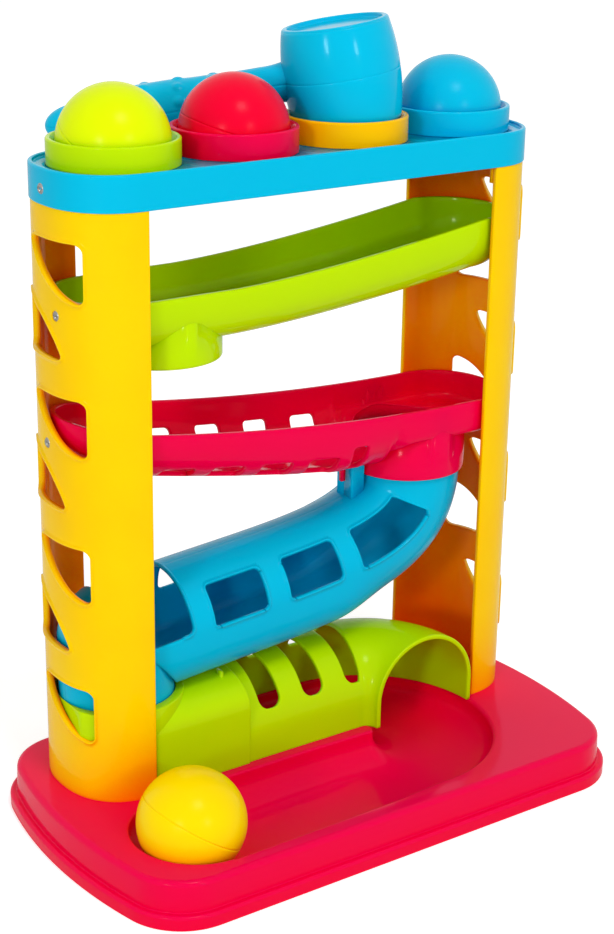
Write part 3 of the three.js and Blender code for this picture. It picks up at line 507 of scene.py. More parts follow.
def tray_bottom(x, y):
    """Height of the tray's underside over plan points, or the plate's underside where there is no tray."""
    centre, _, width, floor = tray_line()
    away = np.hypot(x[:, None] - centre[:, 0], y[:, None] - centre[:, 1])
    near = np.argmin(away / width, axis=1)
    share = np.minimum(away[np.arange(len(x)), near] / (width[near] + BASE_WALL), 1)
    depth = (1 - share ** TRAY_POWER) ** (1 / TRAY_POWER)
    return np.where(share < 1, PLATE_UNDER - (PLATE_UNDER - floor[near] + BASE_WALL) * depth, PLATE_UNDER)


def rib(start, end, foot):
    """A thin upright wall under the base, from its foot's height up to the plate and the tray."""
    count = 160
    t = np.linspace(0, 1, count)
    x, y = start[0] + (end[0] - start[0]) * t, start[1] + (end[1] - start[1]) * t
    side = unit(np.array([-(end[1] - start[1]), end[0] - start[0]]))[None] * RIB_HALF
    top, low = tray_bottom(x, y) + RIB_BITE, np.full(count, float(foot))
    a, b = np.column_stack([x, y]) + side, np.column_stack([x, y]) - side
    ring = np.stack([np.column_stack([plan, z]) for plan, z in ((a, low), (b, low), (b, top), (a, top))], 1)
    first, last = np.array([0, 1, 2, 3]), 4 * count - 1 - np.array([0, 1, 2, 3])
    return ring.reshape(-1, 3), np.vstack([grid(count, 4, False, True), first, last])


def base_shape():
    """A skirt carried round the plan, the plate's two sheets, the tray's two skins and a lattice of ribs.

    The long ribs and the hub stand a little off the floor, so no two undersides share a plane.
    """
    outline, outward = base_outline(420)
    lower = FLANGE - BASE_WALL
    side = rounded([
        (PLATE_INSET, BASE_TOP, 0), (3.55, BASE_TOP, 3.0), (3.1, FLANGE, 0.5), (0, FLANGE, 1.5),
        (0.1, 0, 0.5), (BASE_WALL, 0, 0.5), (2.3, lower, 0.8), (5.4, lower, 0.8), (5.9, PLATE_UNDER, 1),
        (PLATE_INSET, PLATE_UNDER, 0)], arc=6)
    rim = tray(0, BASE_TOP, TRAY_RIM)
    under = tray(BASE_WALL, PLATE_UNDER, 0)
    edge = outline - PLATE_INSET * outward
    ribs = [rib((x - BASE_SHIFT, -CROSS_RIB_REACH), (x - BASE_SHIFT, CROSS_RIB_REACH), 0) for x in CROSS_RIBS]
    ribs += [rib((x - BASE_SHIFT, y), (-x - BASE_SHIFT, y), 0.05) for x, y in LONG_RIBS]
    hub = brick((-HUB_HALF, -HUB_HALF, 0.1), (HUB_HALF, HUB_HALF, HUB_HEIGHT))
    return joined(
        swept_loop(outline, outward, side), rim[:2], under[:2], flat(edge, [rim[2]], BASE_TOP),
        flat(edge, [under[2]], PLATE_UNDER), hub, *ribs)


# End panels

OVAL_POWER, OVAL_LENGTH, OVAL_HALF = 2.3, 29.6, 32
WINDOW_TALL, WINDOW_WIDE, WINDOW_BOW = 24, 31.5, 1.5
WINDOW_EDGE, WINDOW_CORNER, WINDOW_BORDER = 21, 3.0, 1.3
WINDOW_TOPS = [264.5 - 64.2 * i for i in range(4)]
WINDOW_FEET = [216.1 - 64.2 * i for i in range(3)]
SCREW_HOLE, SCREW_LAND = 2.6, 4
TONGUE_LOW, TONGUE_HIGH = 270.2, 285.2


def oval(inset, count=400):
    """Half the plan of an end panel, a superellipse of power 2.3, from its front edge to its back edge."""
    t = np.linspace(-np.pi / 2, np.pi / 2, count)
    power = 2 / OVAL_POWER
    return np.column_stack([
        PANEL_X + (OVAL_LENGTH - inset) * np.abs(np.cos(t)) ** power,
        (OVAL_HALF - inset) * np.sign(t) * np.abs(np.sin(t)) ** power])


def slanted(a, b):
    """Below zero in a window with two straight sides and a bowed slanting one, a superellipse's arc."""
    legs = (np.maximum(a, 0) / WINDOW_WIDE) ** WINDOW_BOW + (np.maximum(b, 0) / WINDOW_TALL) ** WINDOW_BOW
    return softened([-a, -b, WINDOW_TALL * (legs ** (1 / WINDOW_BOW) - 1)], WINDOW_CORNER)


def panel_shape(side):
    """A wall over heights and distances along the oval, with seven bordered windows and its screw holes.

    A tongue inside its top edge stands up into the deck.
    """
    screws = [SCREWS[name, side] for name in ("trough", "ramp")]
    line = oval(0)
    total = np.linalg.norm(np.diff(line, axis=0), axis=1).sum()
    u, v = table((0, DECK_BOTTOM - BASE_TOP, 208), (0, total, 88))

    def to_screw(y, z):
        return np.min([np.hypot(y - screw_y, z - screw_z) for screw_y, screw_z in screws], axis=0)

    def field(height, distance):
        y = follow(line, distance)[0][..., 1]
        z = BASE_TOP + height
        windows = [slanted(y + WINDOW_EDGE, top - z) for top in WINDOW_TOPS]
        windows += [slanted(WINDOW_EDGE - y, z - foot) for foot in WINDOW_FEET]
        return np.minimum(np.min(windows, axis=0) - WINDOW_BORDER, to_screw(y, z) - SCREW_HOLE)

    u, v, faces, near = cut(u, v, field)
    place, normal = follow(line, v)
    wall, soft = mm(sizes().panel_wall), mm(sizes().edge)

    def sheet(inset):
        plan = place - normal * inset
        return np.concatenate([plan * [side, 1], (BASE_TOP + u)[..., None]], -1)

    at_screw = to_screw(place[..., 1].ravel(), BASE_TOP + u.ravel()) < SCREW_LAND
    rims = [plain_rim(soft), lip_rim(soft, WINDOW_BORDER, mm(sizes().window_lip))]
    skin = walled(sheet(0), sheet(wall), faces, rims, np.where(near & ~at_screw, 1, 0))
    loop = np.vstack([oval(wall + 0.5, 90), oval(wall + 2.7, 90)[::-1]]) * [side, 1]
    count = len(loop)
    tongue = np.stack([np.column_stack([loop, np.full(count, z)]) for z in (TONGUE_LOW, TONGUE_HIGH)])
    i = np.arange(count // 2 - 1)
    ends = np.column_stack([i, i + 1, count - 2 - i, count - 1 - i])
    return joined(
        skin, (tongue, grid(2, count, False, True)), (tongue, ends[:, ::-1]), (tongue, ends + count))


# Deck and rings

DECK_TOP, DECK_FACE = 292.6, 291.2
DECK_WALL = 2
DECK_UNDER = 289
DECK_INSET, DECK_OVERHANG = 4, 0.5
RING_HOLE = 26.2
RING_BORE, RING_NECK, RING_FOOT, RING_LIP = 23.65, 25.9, 284, 299.2


def deck_shape():
    """A cap whose skirt is carried round the closed oval, between two level sheets with four round holes."""
    half = oval(-DECK_OVERHANG, 300)
    loop = np.vstack([half, half[::-1] * [-1, 1], half[:1]])
    outline, outward = even(loop, 400)
    side = rounded([
        (DECK_INSET, DECK_FACE, 0), (2.1, DECK_FACE, 0.5), (1.9, DECK_TOP, 0.5), (0, DECK_TOP, 0.9),
        (0, DECK_BOTTOM, 0.5), (DECK_WALL, DECK_BOTTOM, 0.5), (DECK_WALL, DECK_UNDER, 0.5),
        (DECK_INSET, DECK_UNDER, 0)], arc=5)
    edge = outline - DECK_INSET * outward
    turn = round_turn(112)
    holes = [np.column_stack([x + RING_HOLE * np.cos(turn), RING_HOLE * np.sin(turn)]) for x in RING_PLACES]
    walls = [revolved([[RING_HOLE, DECK_FACE], [RING_HOLE, DECK_UNDER]], x, 0, closed=False)
             for x in RING_PLACES]
    sheets = [flat(edge, holes, z) for z in (DECK_FACE, DECK_UNDER)]
    return joined(swept_loop(outline, outward, side), *sheets, *walls)


def ring_shape(x):
    """A rounded section turned about a ball's axis: a snug bore, a flared mouth and a shoulder."""
    profile = rounded([
        (RING_BORE, RING_FOOT, 0.4), (RING_BORE, RING_LIP, 1.5), (25.5, RING_TOP, 0.6),
        (27.25, RING_TOP, 0.8), (27.2, DECK_FACE, 0.2), (RING_NECK, DECK_FACE, 0.2),
        (RING_NECK, RING_FOOT, 0.4)], closed=True, arc=5)
    return revolved(profile, x, 0)


# Balls

BALL_SEAT = 300
TRAY_SEAT = (-93, -38.5, 26.6)
WELD_DEPTH, WELD_HALF = 0.3, 0.2


def ball_shape(place, tilt, turn):
    """A sphere with a shallow weld line round its own equator, a bell curve's dip, tilted and turned."""
    radius = mm(sizes().ball_radius)
    latitude = np.linspace(-np.pi / 2, np.pi / 2, 81)
    close = np.array([-0.9, -0.45, -0.22, -0.1, 0, 0.1, 0.22, 0.45, 0.9]) / radius
    latitude = np.sort(np.concatenate([latitude[np.abs(latitude) > 0.045], close]))
    r = radius - WELD_DEPTH * np.exp(-(radius * latitude / WELD_HALF) ** 2)
    points, faces = revolved(np.column_stack([r * np.cos(latitude), r * np.sin(latitude)]), 0, 0, 128, False)
    spin = np.array(Matrix.Rotation(turn, 3, "Z") @ Matrix.Rotation(tilt, 3, "X"))
    return points @ spin.T + np.array(place), faces


# Trough and ramp

TROUGH_RIM, TROUGH_RISE, TROUGH_DEPTH, TROUGH_DEEPENS = 239, 14.5, 23.6, 2.1
TROUGH_SLOPE_START, TROUGH_SLOPE_RUN = -45, 134
RAMP_RIM, RAMP_RISE, RAMP_RISE_RUN, RAMP_DEPTH, RAMP_DEEPENS = 168.5, 14.5, 174, 22.2, 6.4
MOUTH_X, MOUTH_RUN, MOUTH_DEPTH = 40, 14, 16
RAMP_LENGTH = MOUTH_X + PANEL_X
ROUND_START, ROUND_RUN, UPRIGHT_START, UPRIGHT_RUN = 10, 30, 42, 12
END_REACH, END_STEPS, SIDE_STEPS = 25.4, 26, 119
SPOUT_X, SPOUT_HOLE, SPOUT_RADII, SPOUT_LOW = -65.8, 25.3, (26.6, 24.4), 209
COLLAR_HOLE, COLLAR_RADII, COLLAR_SOCKET = 25.7, (27.5, 24.8), (25.8, 144.3)
BELOW_RIM = 1.5
TAB_LOW, TAB_HIGH = (29.4, -2, 133.1), (31.6, 0, 143.2)
TROUGH_PEGS, RAMP_PEGS = ((-116.2, -112), (116.2, 111)), ((-116.6, -112), (116.6, 94.6))
SLOT_CORNER, SLOT_BACK = 2.5, 12.7
# Windows as (middle, half length, top edge below the rim, side)
NEAR_SLOTS = [(-69.9 + 24.3 * i, 8.5, 14.9, -1) for i in range(4)] + [(22.3, 4.8, 11.3, -1)]
FAR_SLOTS = [(-79.7 + 26.2 * i, 7, 11.3, 1) for i in range(5)]
PEG_RADIUS, PEG_SOFT = 4.0, 0.4


def trough_slope(x):
    """The share of the trough's rise, from 0 at its low end to 1 near the other."""
    return np.clip((x - TROUGH_SLOPE_START) / TROUGH_SLOPE_RUN, 0, 1)


def ramp_rim(x):
    """The rim climbs to the left as the square of the distance from the right end."""
    return RAMP_RIM + RAMP_RISE * np.maximum(0, (PANEL_X - x) / RAMP_RISE_RUN) ** 2


def ramp_depth(x):
    """Grows evenly to the place where the floor ends; from there it rises to the collar's mouth."""
    floor = RAMP_DEPTH + RAMP_DEEPENS * np.clip((x + PANEL_X) / RAMP_LENGTH, 0, 1)
    return floor + (MOUTH_DEPTH - floor) * (1 - (1 - np.clip((x - MOUTH_X) / MOUTH_RUN, 0, 1)) ** 2)


def ramp_power(x):
    """The section grows squarer, draws in rounder before the mouth and goes upright beside the collar."""
    even_growth = 2.6 + 1.6 * np.clip((x + PANEL_X) / RAMP_LENGTH, 0, 1) ** 2
    rounder = 1.8 * smooth_step((x - ROUND_START) / ROUND_RUN)
    return even_growth - rounder + 6.6 * smooth_step((x - UPRIGHT_START) / UPRIGHT_RUN)


# A channel's rim height, depth and section's power are functions of x
Channel = namedtuple("Channel", "rim depth power half_width")
TROUGH = Channel(
    rim=lambda x: TROUGH_RIM + TROUGH_RISE * trough_slope(x) ** 1.5,
    depth=lambda x: TROUGH_DEPTH + TROUGH_DEEPENS * trough_slope(x), power=lambda x: 3.0, half_width=27.5)
RAMP = Channel(rim=ramp_rim, depth=ramp_depth, power=ramp_power, half_width=27.6)


def tub(channel, wall, opening):
    """A channel with round ends: a plan loop drawn in while it sinks, with a superellipse for its section.

    Rows run from the rim (0) to the bottom line (90 degrees), columns run round the plan.
    """
    turn = np.linspace(0, np.pi / 2, END_STEPS)
    straight = np.linspace(PANEL_X, -PANEL_X, SIDE_STEPS + 2)[1:-1]
    base = np.concatenate([np.full(END_STEPS, PANEL_X), straight, np.full(END_STEPS, -PANEL_X)])
    a = np.concatenate([np.cos(turn), np.zeros(SIDE_STEPS), -np.cos(turn[::-1])])
    b = np.concatenate([np.sin(turn), np.ones(SIDE_STEPS), np.sin(turn[::-1])])
    base, a, b = [np.concatenate([v, v[::-1][1:-1] * s, v[:1]]) for v, s in ((base, 1), (a, 1), (b, -1))]
    columns = len(base)
    u, v = table((0, np.pi / 2, 44), (0, columns - 1, columns))

    def sheet(u, v, shrink):
        x0, ahead, beside = [np.interp(v, np.arange(columns), t) for t in (base, a, b)]
        power = 2 / channel.power(x0)
        across, down = np.maximum(np.cos(u), 0) ** power, np.maximum(np.sin(u), 0) ** power
        x = x0 + ahead * (END_REACH - shrink) * across
        y = beside * (channel.half_width - shrink) * across
        z = channel.rim(x) - (channel.depth(x) - shrink) * down
        return np.stack([x, y, z], -1)

    u, v, faces, near = cut(u, v, lambda s, t: opening(*np.moveaxis(sheet(s, t, wall / 2), -1, 0)))
    sewn = ((v < 0.01) | (v > columns - 1.01) | (u > np.pi / 2 - 1e-6)).ravel() & ~near
    return walled(sheet(u, v, 0), sheet(u, v, wall), faces, [plain_rim(mm(sizes().edge))], sewn=sewn)


def skin_height(channel, shrink):
    """Height of a channel's skin over plan points between its round ends, held below the rim."""
    def height(x, y):
        power = channel.power(x)
        share = np.clip(1 - np.abs(y / (channel.half_width - shrink)) ** power, 0, 1)
        skin = channel.rim(x) - (channel.depth(x) - shrink) * share ** (1 / power)
        return np.minimum(skin, channel.rim(x) - BELOW_RIM)
    return height


def collar(x, outer, inner, low, channel, wall, socket=None):
    """A round collar whose upper edge follows the channel above it, with an optional wider socket below.

    The rings go down the bore, round the lower edge and up the outside to the middle of the channel's wall.
    """
    turn = round_turn(160)
    bore, shoulder = socket or (inner, low + 1)
    mouth = skin_height(channel, wall)

    def ring(radius, z, sink=0.0):
        px, py = x + radius * np.cos(turn), radius * np.sin(turn)
        return np.column_stack([px, py, (z(px, py) if callable(z) else np.full(len(turn), float(z))) - sink])

    rings = [
        ring(inner + 1, mouth), ring(inner + 0.6, mouth, 0.03), ring(inner + 0.2, mouth, 0.2),
        ring(inner, mouth, 0.7), ring(inner, shoulder), ring(bore, shoulder),
        ring(bore, low + 0.5), ring(bore + 0.2, low + 0.1), ring(bore + 0.5, low),
        ring(outer - 0.6, low), ring(outer - 0.2, low + 0.15), ring(outer, low + 0.6),
        ring(outer, low + 2), ring(outer, skin_height(channel, wall / 2))]
    return np.stack(rings).reshape(-1, 3), grid(len(rings), len(turn), True, True)


def peg(held, side, outer_x, inner_x):
    """A short round peg along x about a screw's axis, with a softened outer end."""
    y, z = SCREWS[held, side]
    turn = round_turn(40)
    step = np.sign(inner_x - outer_x) * PEG_SOFT
    rings = np.array([
        (outer_x, 0), (outer_x, PEG_RADIUS - PEG_SOFT), (outer_x + step, PEG_RADIUS), (inner_x, PEG_RADIUS),
        (inner_x, 0)])
    x, r = rings.T[..., None]
    points = np.stack([x + 0 * turn, y + r * np.cos(turn), z + r * np.sin(turn)], -1)
    return points.reshape(-1, 3), grid(len(rings), len(turn), False, True)


def trough_shape():
    """The green channel with a round hole and its spout at the low end, and a screw peg at each end."""
    wall = mm(sizes().trough_wall)
    return joined(
        tub(TROUGH, wall, lambda x, y, z: np.hypot(x - SPOUT_X, y) - SPOUT_HOLE),
        collar(SPOUT_X, *SPOUT_RADII, SPOUT_LOW, TROUGH, wall),
        *[peg("trough", side, *ends) for side, ends in zip(SIDES.values(), TROUGH_PEGS)])


def ramp_shape():
    """The red channel with windows along both sides, the collar that the tube plugs into, a tab and two pegs.

    A window is a rounded box cut through one side of the section, from its top edge down.
    """
    wall = mm(sizes().trough_wall)

    def opening(x, y, z):
        fields = [np.hypot(x - COLLAR_X, y) - COLLAR_HOLE]
        for middle, half, drop, side in NEAR_SLOTS + FAR_SLOTS:
            sides = [np.abs(x - middle) - half, z - ramp_rim(x) + drop, SLOT_BACK - side * y]
            fields.append(softened(sides, SLOT_CORNER))
        return np.min(fields, axis=0)

    return joined(
        tub(RAMP, wall, opening), collar(COLLAR_X, *COLLAR_RADII, TUBE_TOP, RAMP, wall, COLLAR_SOCKET),
        brick(TAB_LOW, TAB_HIGH),
        *[peg("ramp", side, *ends) for side, ends in zip(SIDES.values(), RAMP_PEGS)])


# Tube

TUBE_RADIUS = 25.5
TUBE_TOP, TUBE_PLUG = 135, 9
ELBOW_Z, ELBOW_ARC, OUTLET_DROP = 84.5, 14.0, 40.5
TUBE_CURVE = ((COLLAR_X, TUBE_TOP), (COLLAR_X, 89.7), (1.6, 94.9), (OUTLET_X, ELBOW_Z))
# Windows from end to end in distance from the collar, and their middle's angle from the crown
TUBE_WINDOWS = ((16.5, 62), (72.3, 102.5), (113.4, 142.5))
TUBE_WINDOW_ANGLE, TUBE_WINDOW_HALF, TUBE_WINDOW_CORNER = 1.14, 11, 3.6
TUBE_BORDER, TUBE_LIP = 1.2, 0.5
SADDLE_BACK, SADDLE_ANGLE, SADDLE_HALF, SADDLE_GIRTH, SADDLE_CORNER = 11.9, 0.2, 14.4, 34.2, 4
FULLNESS = 0.14
LUG_MIDDLE = (36.1, 2.9)
LUG_LOW, LUG_HIGH = (32.4, 0.05), (39.8, 5.9)
LUG_TOP, LUG_BITE = 141.2, 0.9


def tube_line():
    """The tube's centre line, a cubic curve from the collar down to the elbow, and distances along it."""
    t = np.linspace(0, 1, 600)[:, None]
    p = np.array(TUBE_CURVE)
    line = (1 - t) ** 3 * p[0] + 3 * (1 - t) ** 2 * t * p[1] + 3 * (1 - t) * t ** 2 * p[2] + t ** 3 * p[3]
    return line, np.concatenate([[0], np.cumsum(np.linalg.norm(np.diff(line, axis=0), axis=1))])


def tube_sheet(s, phi, radius):
    """Points at a distance s along the tube and an angle from its crown.

    Before 0 the tube stands upright in the collar. At the elbow the crown side turns about the corner, and
    the belly side stops at the mitre; after it the outlet drops straight down. Along the lower run the
    section's lower corners are fuller than a circle.
    """
    line, run = tube_line()
    total = run[-1]
    slope = unit(np.gradient(line, run, axis=0))
    bend = np.arctan2(-slope[-1, 1], -slope[-1, 0])
    swing = np.pi / 2 - bend
    belly = np.maximum(-radius * np.cos(phi), 0) * np.tan(swing / 2)
    on_line = np.minimum(np.clip(s, 0, total), total - belly)
    centre = np.stack([np.interp(on_line, run, line[:, i]) for i in (0, 1)], -1)
    way = unit(np.stack([np.interp(on_line, run, slope[:, i]) for i in (0, 1)], -1))
    centre[..., 1] += np.maximum(-s, 0)
    share = np.clip((s - total) / ELBOW_ARC, 0, 1)
    angle = np.where(s > total, bend + share * swing, np.arctan2(-way[..., 1], -way[..., 0]))
    angle = np.where((s > total) & (np.cos(phi) < 0), bend, angle)
    past = s > total + ELBOW_ARC
    angle = np.where(past, np.pi / 2, angle)
    down = np.maximum(s - total - ELBOW_ARC, 0)
    outlet = np.stack([np.full(s.shape, OUTLET_X), ELBOW_Z - np.maximum(down, belly)], -1)
    centre = np.where(past[..., None], outlet, centre)
    full = smooth_step((s - 45) / 30) * smooth_step((total + 4 - s) / 20)
    radius = radius * (1 + FULLNESS * full * np.where(np.cos(phi) < 0, np.sin(2 * phi) ** 2, 0))
    across = radius * np.cos(phi)
    x = centre[..., 0] - np.sin(angle) * across
    z = centre[..., 1] + np.cos(angle) * across
    return np.stack([x, radius * np.sin(phi), z], -1)


def tube_shape(side):
    """Half of the tube: a sheet over distance and angle on one side of the middle plane.

    Its windows are rounded boxes in distance and girth, and the elbow's crown is open as a saddle.
    """
    total = tube_line()[1][-1]
    wall, soft = mm(sizes().tube_wall), mm(sizes().edge)
    u, v = table((-TUBE_PLUG, total + ELBOW_ARC + OUTLET_DROP, 250), (0.004, np.pi - 0.004, 72))

    def field(s, phi):
        along, high = s - total + SADDLE_BACK, TUBE_RADIUS * (phi - SADDLE_ANGLE)
        fields = [box_field(along, high, SADDLE_HALF, SADDLE_GIRTH, SADDLE_CORNER)]
        high = TUBE_RADIUS * (phi - TUBE_WINDOW_ANGLE)
        for a, b in TUBE_WINDOWS:
            along, half = s - (a + b) / 2, (b - a) / 2 + TUBE_BORDER / 2
            fields.append(box_field(along, high, half, TUBE_WINDOW_HALF, TUBE_WINDOW_CORNER))
        return np.min(fields, axis=0)

    u, v, faces, near = cut(u, v, field)
    kind = np.where(near & (u.ravel() < total - 20), 1, 0)
    outer, inner = [tube_sheet(u, v, radius) * [1, side, 1] for radius in (TUBE_RADIUS, TUBE_RADIUS - wall)]
    return walled(outer, inner, faces, [plain_rim(soft), lip_rim(soft, TUBE_BORDER, TUBE_LIP)], kind)


def tube_crown(x, y):
    """Height of the tube's skin over plan points."""
    line, run = tube_line()
    slope = unit(np.gradient(line, run, axis=0))
    across = np.sqrt(TUBE_RADIUS ** 2 - y ** 2)[:, None]
    over = line[:, 0] + slope[:, 1] * across
    high = line[:, 1] - slope[:, 0] * across
    return np.array([np.interp(at, o[::-1], h[::-1]) for at, o, h in zip(x, over, high)])


def lug_shape(side):
    """Half of the block on the tube's crown that steadies the ramp: a rounded plan carried up."""
    (x0, y0), (x1, y1) = LUG_LOW, LUG_HIGH
    plan = rounded([(x0, y0, 0), (x1, y0, 0), (x1, y1, 0.7), (x0, y1, 0.7)], closed=True, arc=6)
    middle = plan * 0 + LUG_MIDDLE
    drawn_in = plan + (middle - plan) * 0.12
    foot = tube_crown(*plan.T) - LUG_BITE
    top = np.full(len(plan), LUG_TOP)
    rings = [np.column_stack(ring) for ring in (
        (middle, foot), (plan, foot), (plan, top - 0.6), (drawn_in, top), (middle, top))]
    points = np.stack(rings) * [1, side, 1]
    return points.reshape(-1, 3), grid(len(rings), len(plan), False, True)


# Tunnel

TUNNEL_Y = -1.2
ARCH_RADIUS, ARCH_SPRING, ARCH_LEG = 28.2, 32.1, 11.6
ARCH_START, ARCH_STRAIGHT, ARCH_BEND = -38.9, 62.9, 33.2
ARCH_SLOTS = (-25.2, -1.4, 22.4)
ARCH_SLOT_Z, ARCH_SLOT_HALF, ARCH_SLOT_RISE, ARCH_SLOT_CORNER = 75, 6.2, 32.5, 5.2
INLET_HALF, INLET_SPRING, INLET_CROWN, INLET_POWER = 29.1, 46.0, 61.2, 2.5
INLET_END, INLET_WALL = -115.7, 2.2
COVER_START, COVER_END, COVER_LEG, COVER_HOLE = -87, -39.2, 0.35, 27
GUSSET_LOW, GUSSET_HIGH = (-46.4, -17.5, 54), (-45, -13.5, 62.5)
SOCKET_RADIUS, SOCKET_TOP, SOCKET_FLOOR = 25.8, 60.6, 44


def tunnel_shape():
    """An arch on upright legs, carried along the middle line and round a quarter turn, with three slots."""
    wall = mm(sizes().trough_wall)
    u, v = table((0, ARCH_STRAIGHT + ARCH_BEND * np.pi / 2, 130), (-1, 1, 92))
    arc = ARCH_RADIUS * np.pi / 2

    def section(v, shrink):
        girth = np.abs(v) * (arc + ARCH_LEG)
        turn = np.minimum(girth, arc) / ARCH_RADIUS
        a = np.sign(v) * (ARCH_RADIUS - shrink) * np.sin(turn)
        z = ARCH_SPRING + (ARCH_RADIUS - shrink) * np.cos(turn) - np.maximum(girth - arc, 0)
        return a, z

    def sheet(u, v, shrink):
        a, z = section(v, shrink)
        turn = np.maximum(u - ARCH_STRAIGHT, 0) / ARCH_BEND
        x = ARCH_START + np.minimum(u, ARCH_STRAIGHT) + (ARCH_BEND + a) * np.sin(turn)
        y = TUNNEL_Y + np.where(u > ARCH_STRAIGHT, (ARCH_BEND + a) * np.cos(turn) - ARCH_BEND, a)
        return np.stack([x, y, z], -1)

    def field(u, v):
        along, high = ARCH_START + u, section(v, 0)[1] - ARCH_SLOT_Z
        slots = [box_field(along - x, high, ARCH_SLOT_HALF, ARCH_SLOT_RISE, ARCH_SLOT_CORNER)
                 for x in ARCH_SLOTS]
        return np.min(slots, axis=0)

    u, v, faces, _ = cut(u, v, field)
    return walled(sheet(u, v, 0), sheet(u, v, wall), faces, [plain_rim(mm(sizes().edge))])


def inlet_shape():
    """The box under the tube: an arched cover with upright sides, a round collar for the outlet and a gusset.

    The cover's section is a superellipse over the legs, and the collar's circle is cut out of it.
    """
    wall = mm(sizes().trough_wall)
    u, v = table((COVER_START, COVER_END, 90), (-1, 1, 96))

    def sheet(u, v, shrink):
        leg = np.clip((1 - np.abs(v)) / COVER_LEG, 0, 1)
        turn = np.clip(np.abs(v) / (1 - COVER_LEG), 0, 1) * np.pi / 2
        across, up = np.sin(turn) ** (2 / INLET_POWER), np.abs(np.cos(turn)) ** (2 / INLET_POWER)
        a = (INLET_HALF - shrink) * across
        arch = INLET_SPRING + (INLET_CROWN - INLET_SPRING - shrink) * up
        z = np.where(leg < 1, BASE_TOP + (INLET_SPRING - BASE_TOP) * leg, arch)
        return np.stack([u, TUNNEL_Y + np.sign(v) * a, z], -1)

    def field(u, v):
        x, y, _ = np.moveaxis(sheet(u, v, 0), -1, 0)
        return np.hypot(x - OUTLET_X, y) - COVER_HOLE

    u, v, faces, _ = cut(u, v, field)
    cover = walled(sheet(u, v, 0), sheet(u, v, wall), faces, [plain_rim(mm(sizes().edge))])
    turn = round_turn(160)

    def ring(radius, z, y):
        x = np.maximum(OUTLET_X + radius * np.cos(turn), INLET_END)
        return np.column_stack([x, y + radius * np.sin(turn), np.full(len(turn), float(z))])

    bore = [
        (SOCKET_RADIUS, SOCKET_FLOOR), (SOCKET_RADIUS, SOCKET_TOP - 0.5),
        (SOCKET_RADIUS + 0.2, SOCKET_TOP - 0.1), (SOCKET_RADIUS + 0.5, SOCKET_TOP)]
    jacket = [
        (INLET_HALF - 0.6, SOCKET_TOP), (INLET_HALF - 0.15, SOCKET_TOP - 0.15),
        (INLET_HALF, SOCKET_TOP - 0.6), (INLET_HALF, BASE_TOP), (INLET_HALF - INLET_WALL, BASE_TOP),
        (INLET_HALF - INLET_WALL, SOCKET_FLOOR - 2)]
    rings = [ring(r, z, 0) for r, z in bore] + [ring(r, z, TUNNEL_Y) for r, z in jacket]
    ring_skin = np.stack(rings).reshape(-1, 3), grid(len(rings), len(turn), True, True)
    return joined(cover, ring_skin, brick(GUSSET_LOW, GUSSET_HIGH))


# Hammer

HEAD_HALF, HEAD_RADIUS, HEAD_TAPER = 22, 25.5, 2.6
HEAD_WELD, HANDLE_WELD = 0.16, 0.25
HANDLE_RADIUS, HANDLE_START, HANDLE_DROOP = 12.3, 18, 4
TIP_START = 0.93
# Shares of the handle's length and the grip's radius there, as a share of the widest
GRIP_SHARES = (0, 0.13, 0.154, 0.215, 0.31, 0.36, 0.43, 0.55, 0.68, 0.8, 0.9, 0.96)
GRIP_WIDTHS = (0.83, 0.83, 0.81, 0.63, 0.7, 0.77, 0.89, 1, 0.99, 0.88, 0.7, 0.55)
# Rows of pips as (distance from the head's middle, angles from the weld line to either side)
PIP_ROWS = ((55, (0.6, 1.2, 1.9, 2.5)), (70, (0.35, 0.95, 1.57, 2.2, 2.8)), (85, (0.6, 1.2, 1.9, 2.5)))
PIP_HEIGHT, PIP_RADIUS, PIP_GIRTH = 0.8, 2.2, 12
HAMMER_SLOPE, HAMMER_YAW = 9.3, 35
HEAD_LIFT, HEAD_SHIFT = 17, 0.7


def handle_radius(d):
    """Radius of the handle over distance from the head's middle: smoothed swellings, then a round tip."""
    t = d / mm(sizes().handle_length)
    smooth = sum(np.interp(t + o, GRIP_SHARES, GRIP_WIDTHS) for o in (-0.03, -0.015, 0, 0.015, 0.03)) / 5
    tip = np.sqrt(np.clip(1 - ((t - TIP_START) / (1 - TIP_START)) ** 2, 0, 1))
    return HANDLE_RADIUS * smooth * np.where(t > TIP_START, tip, 1)


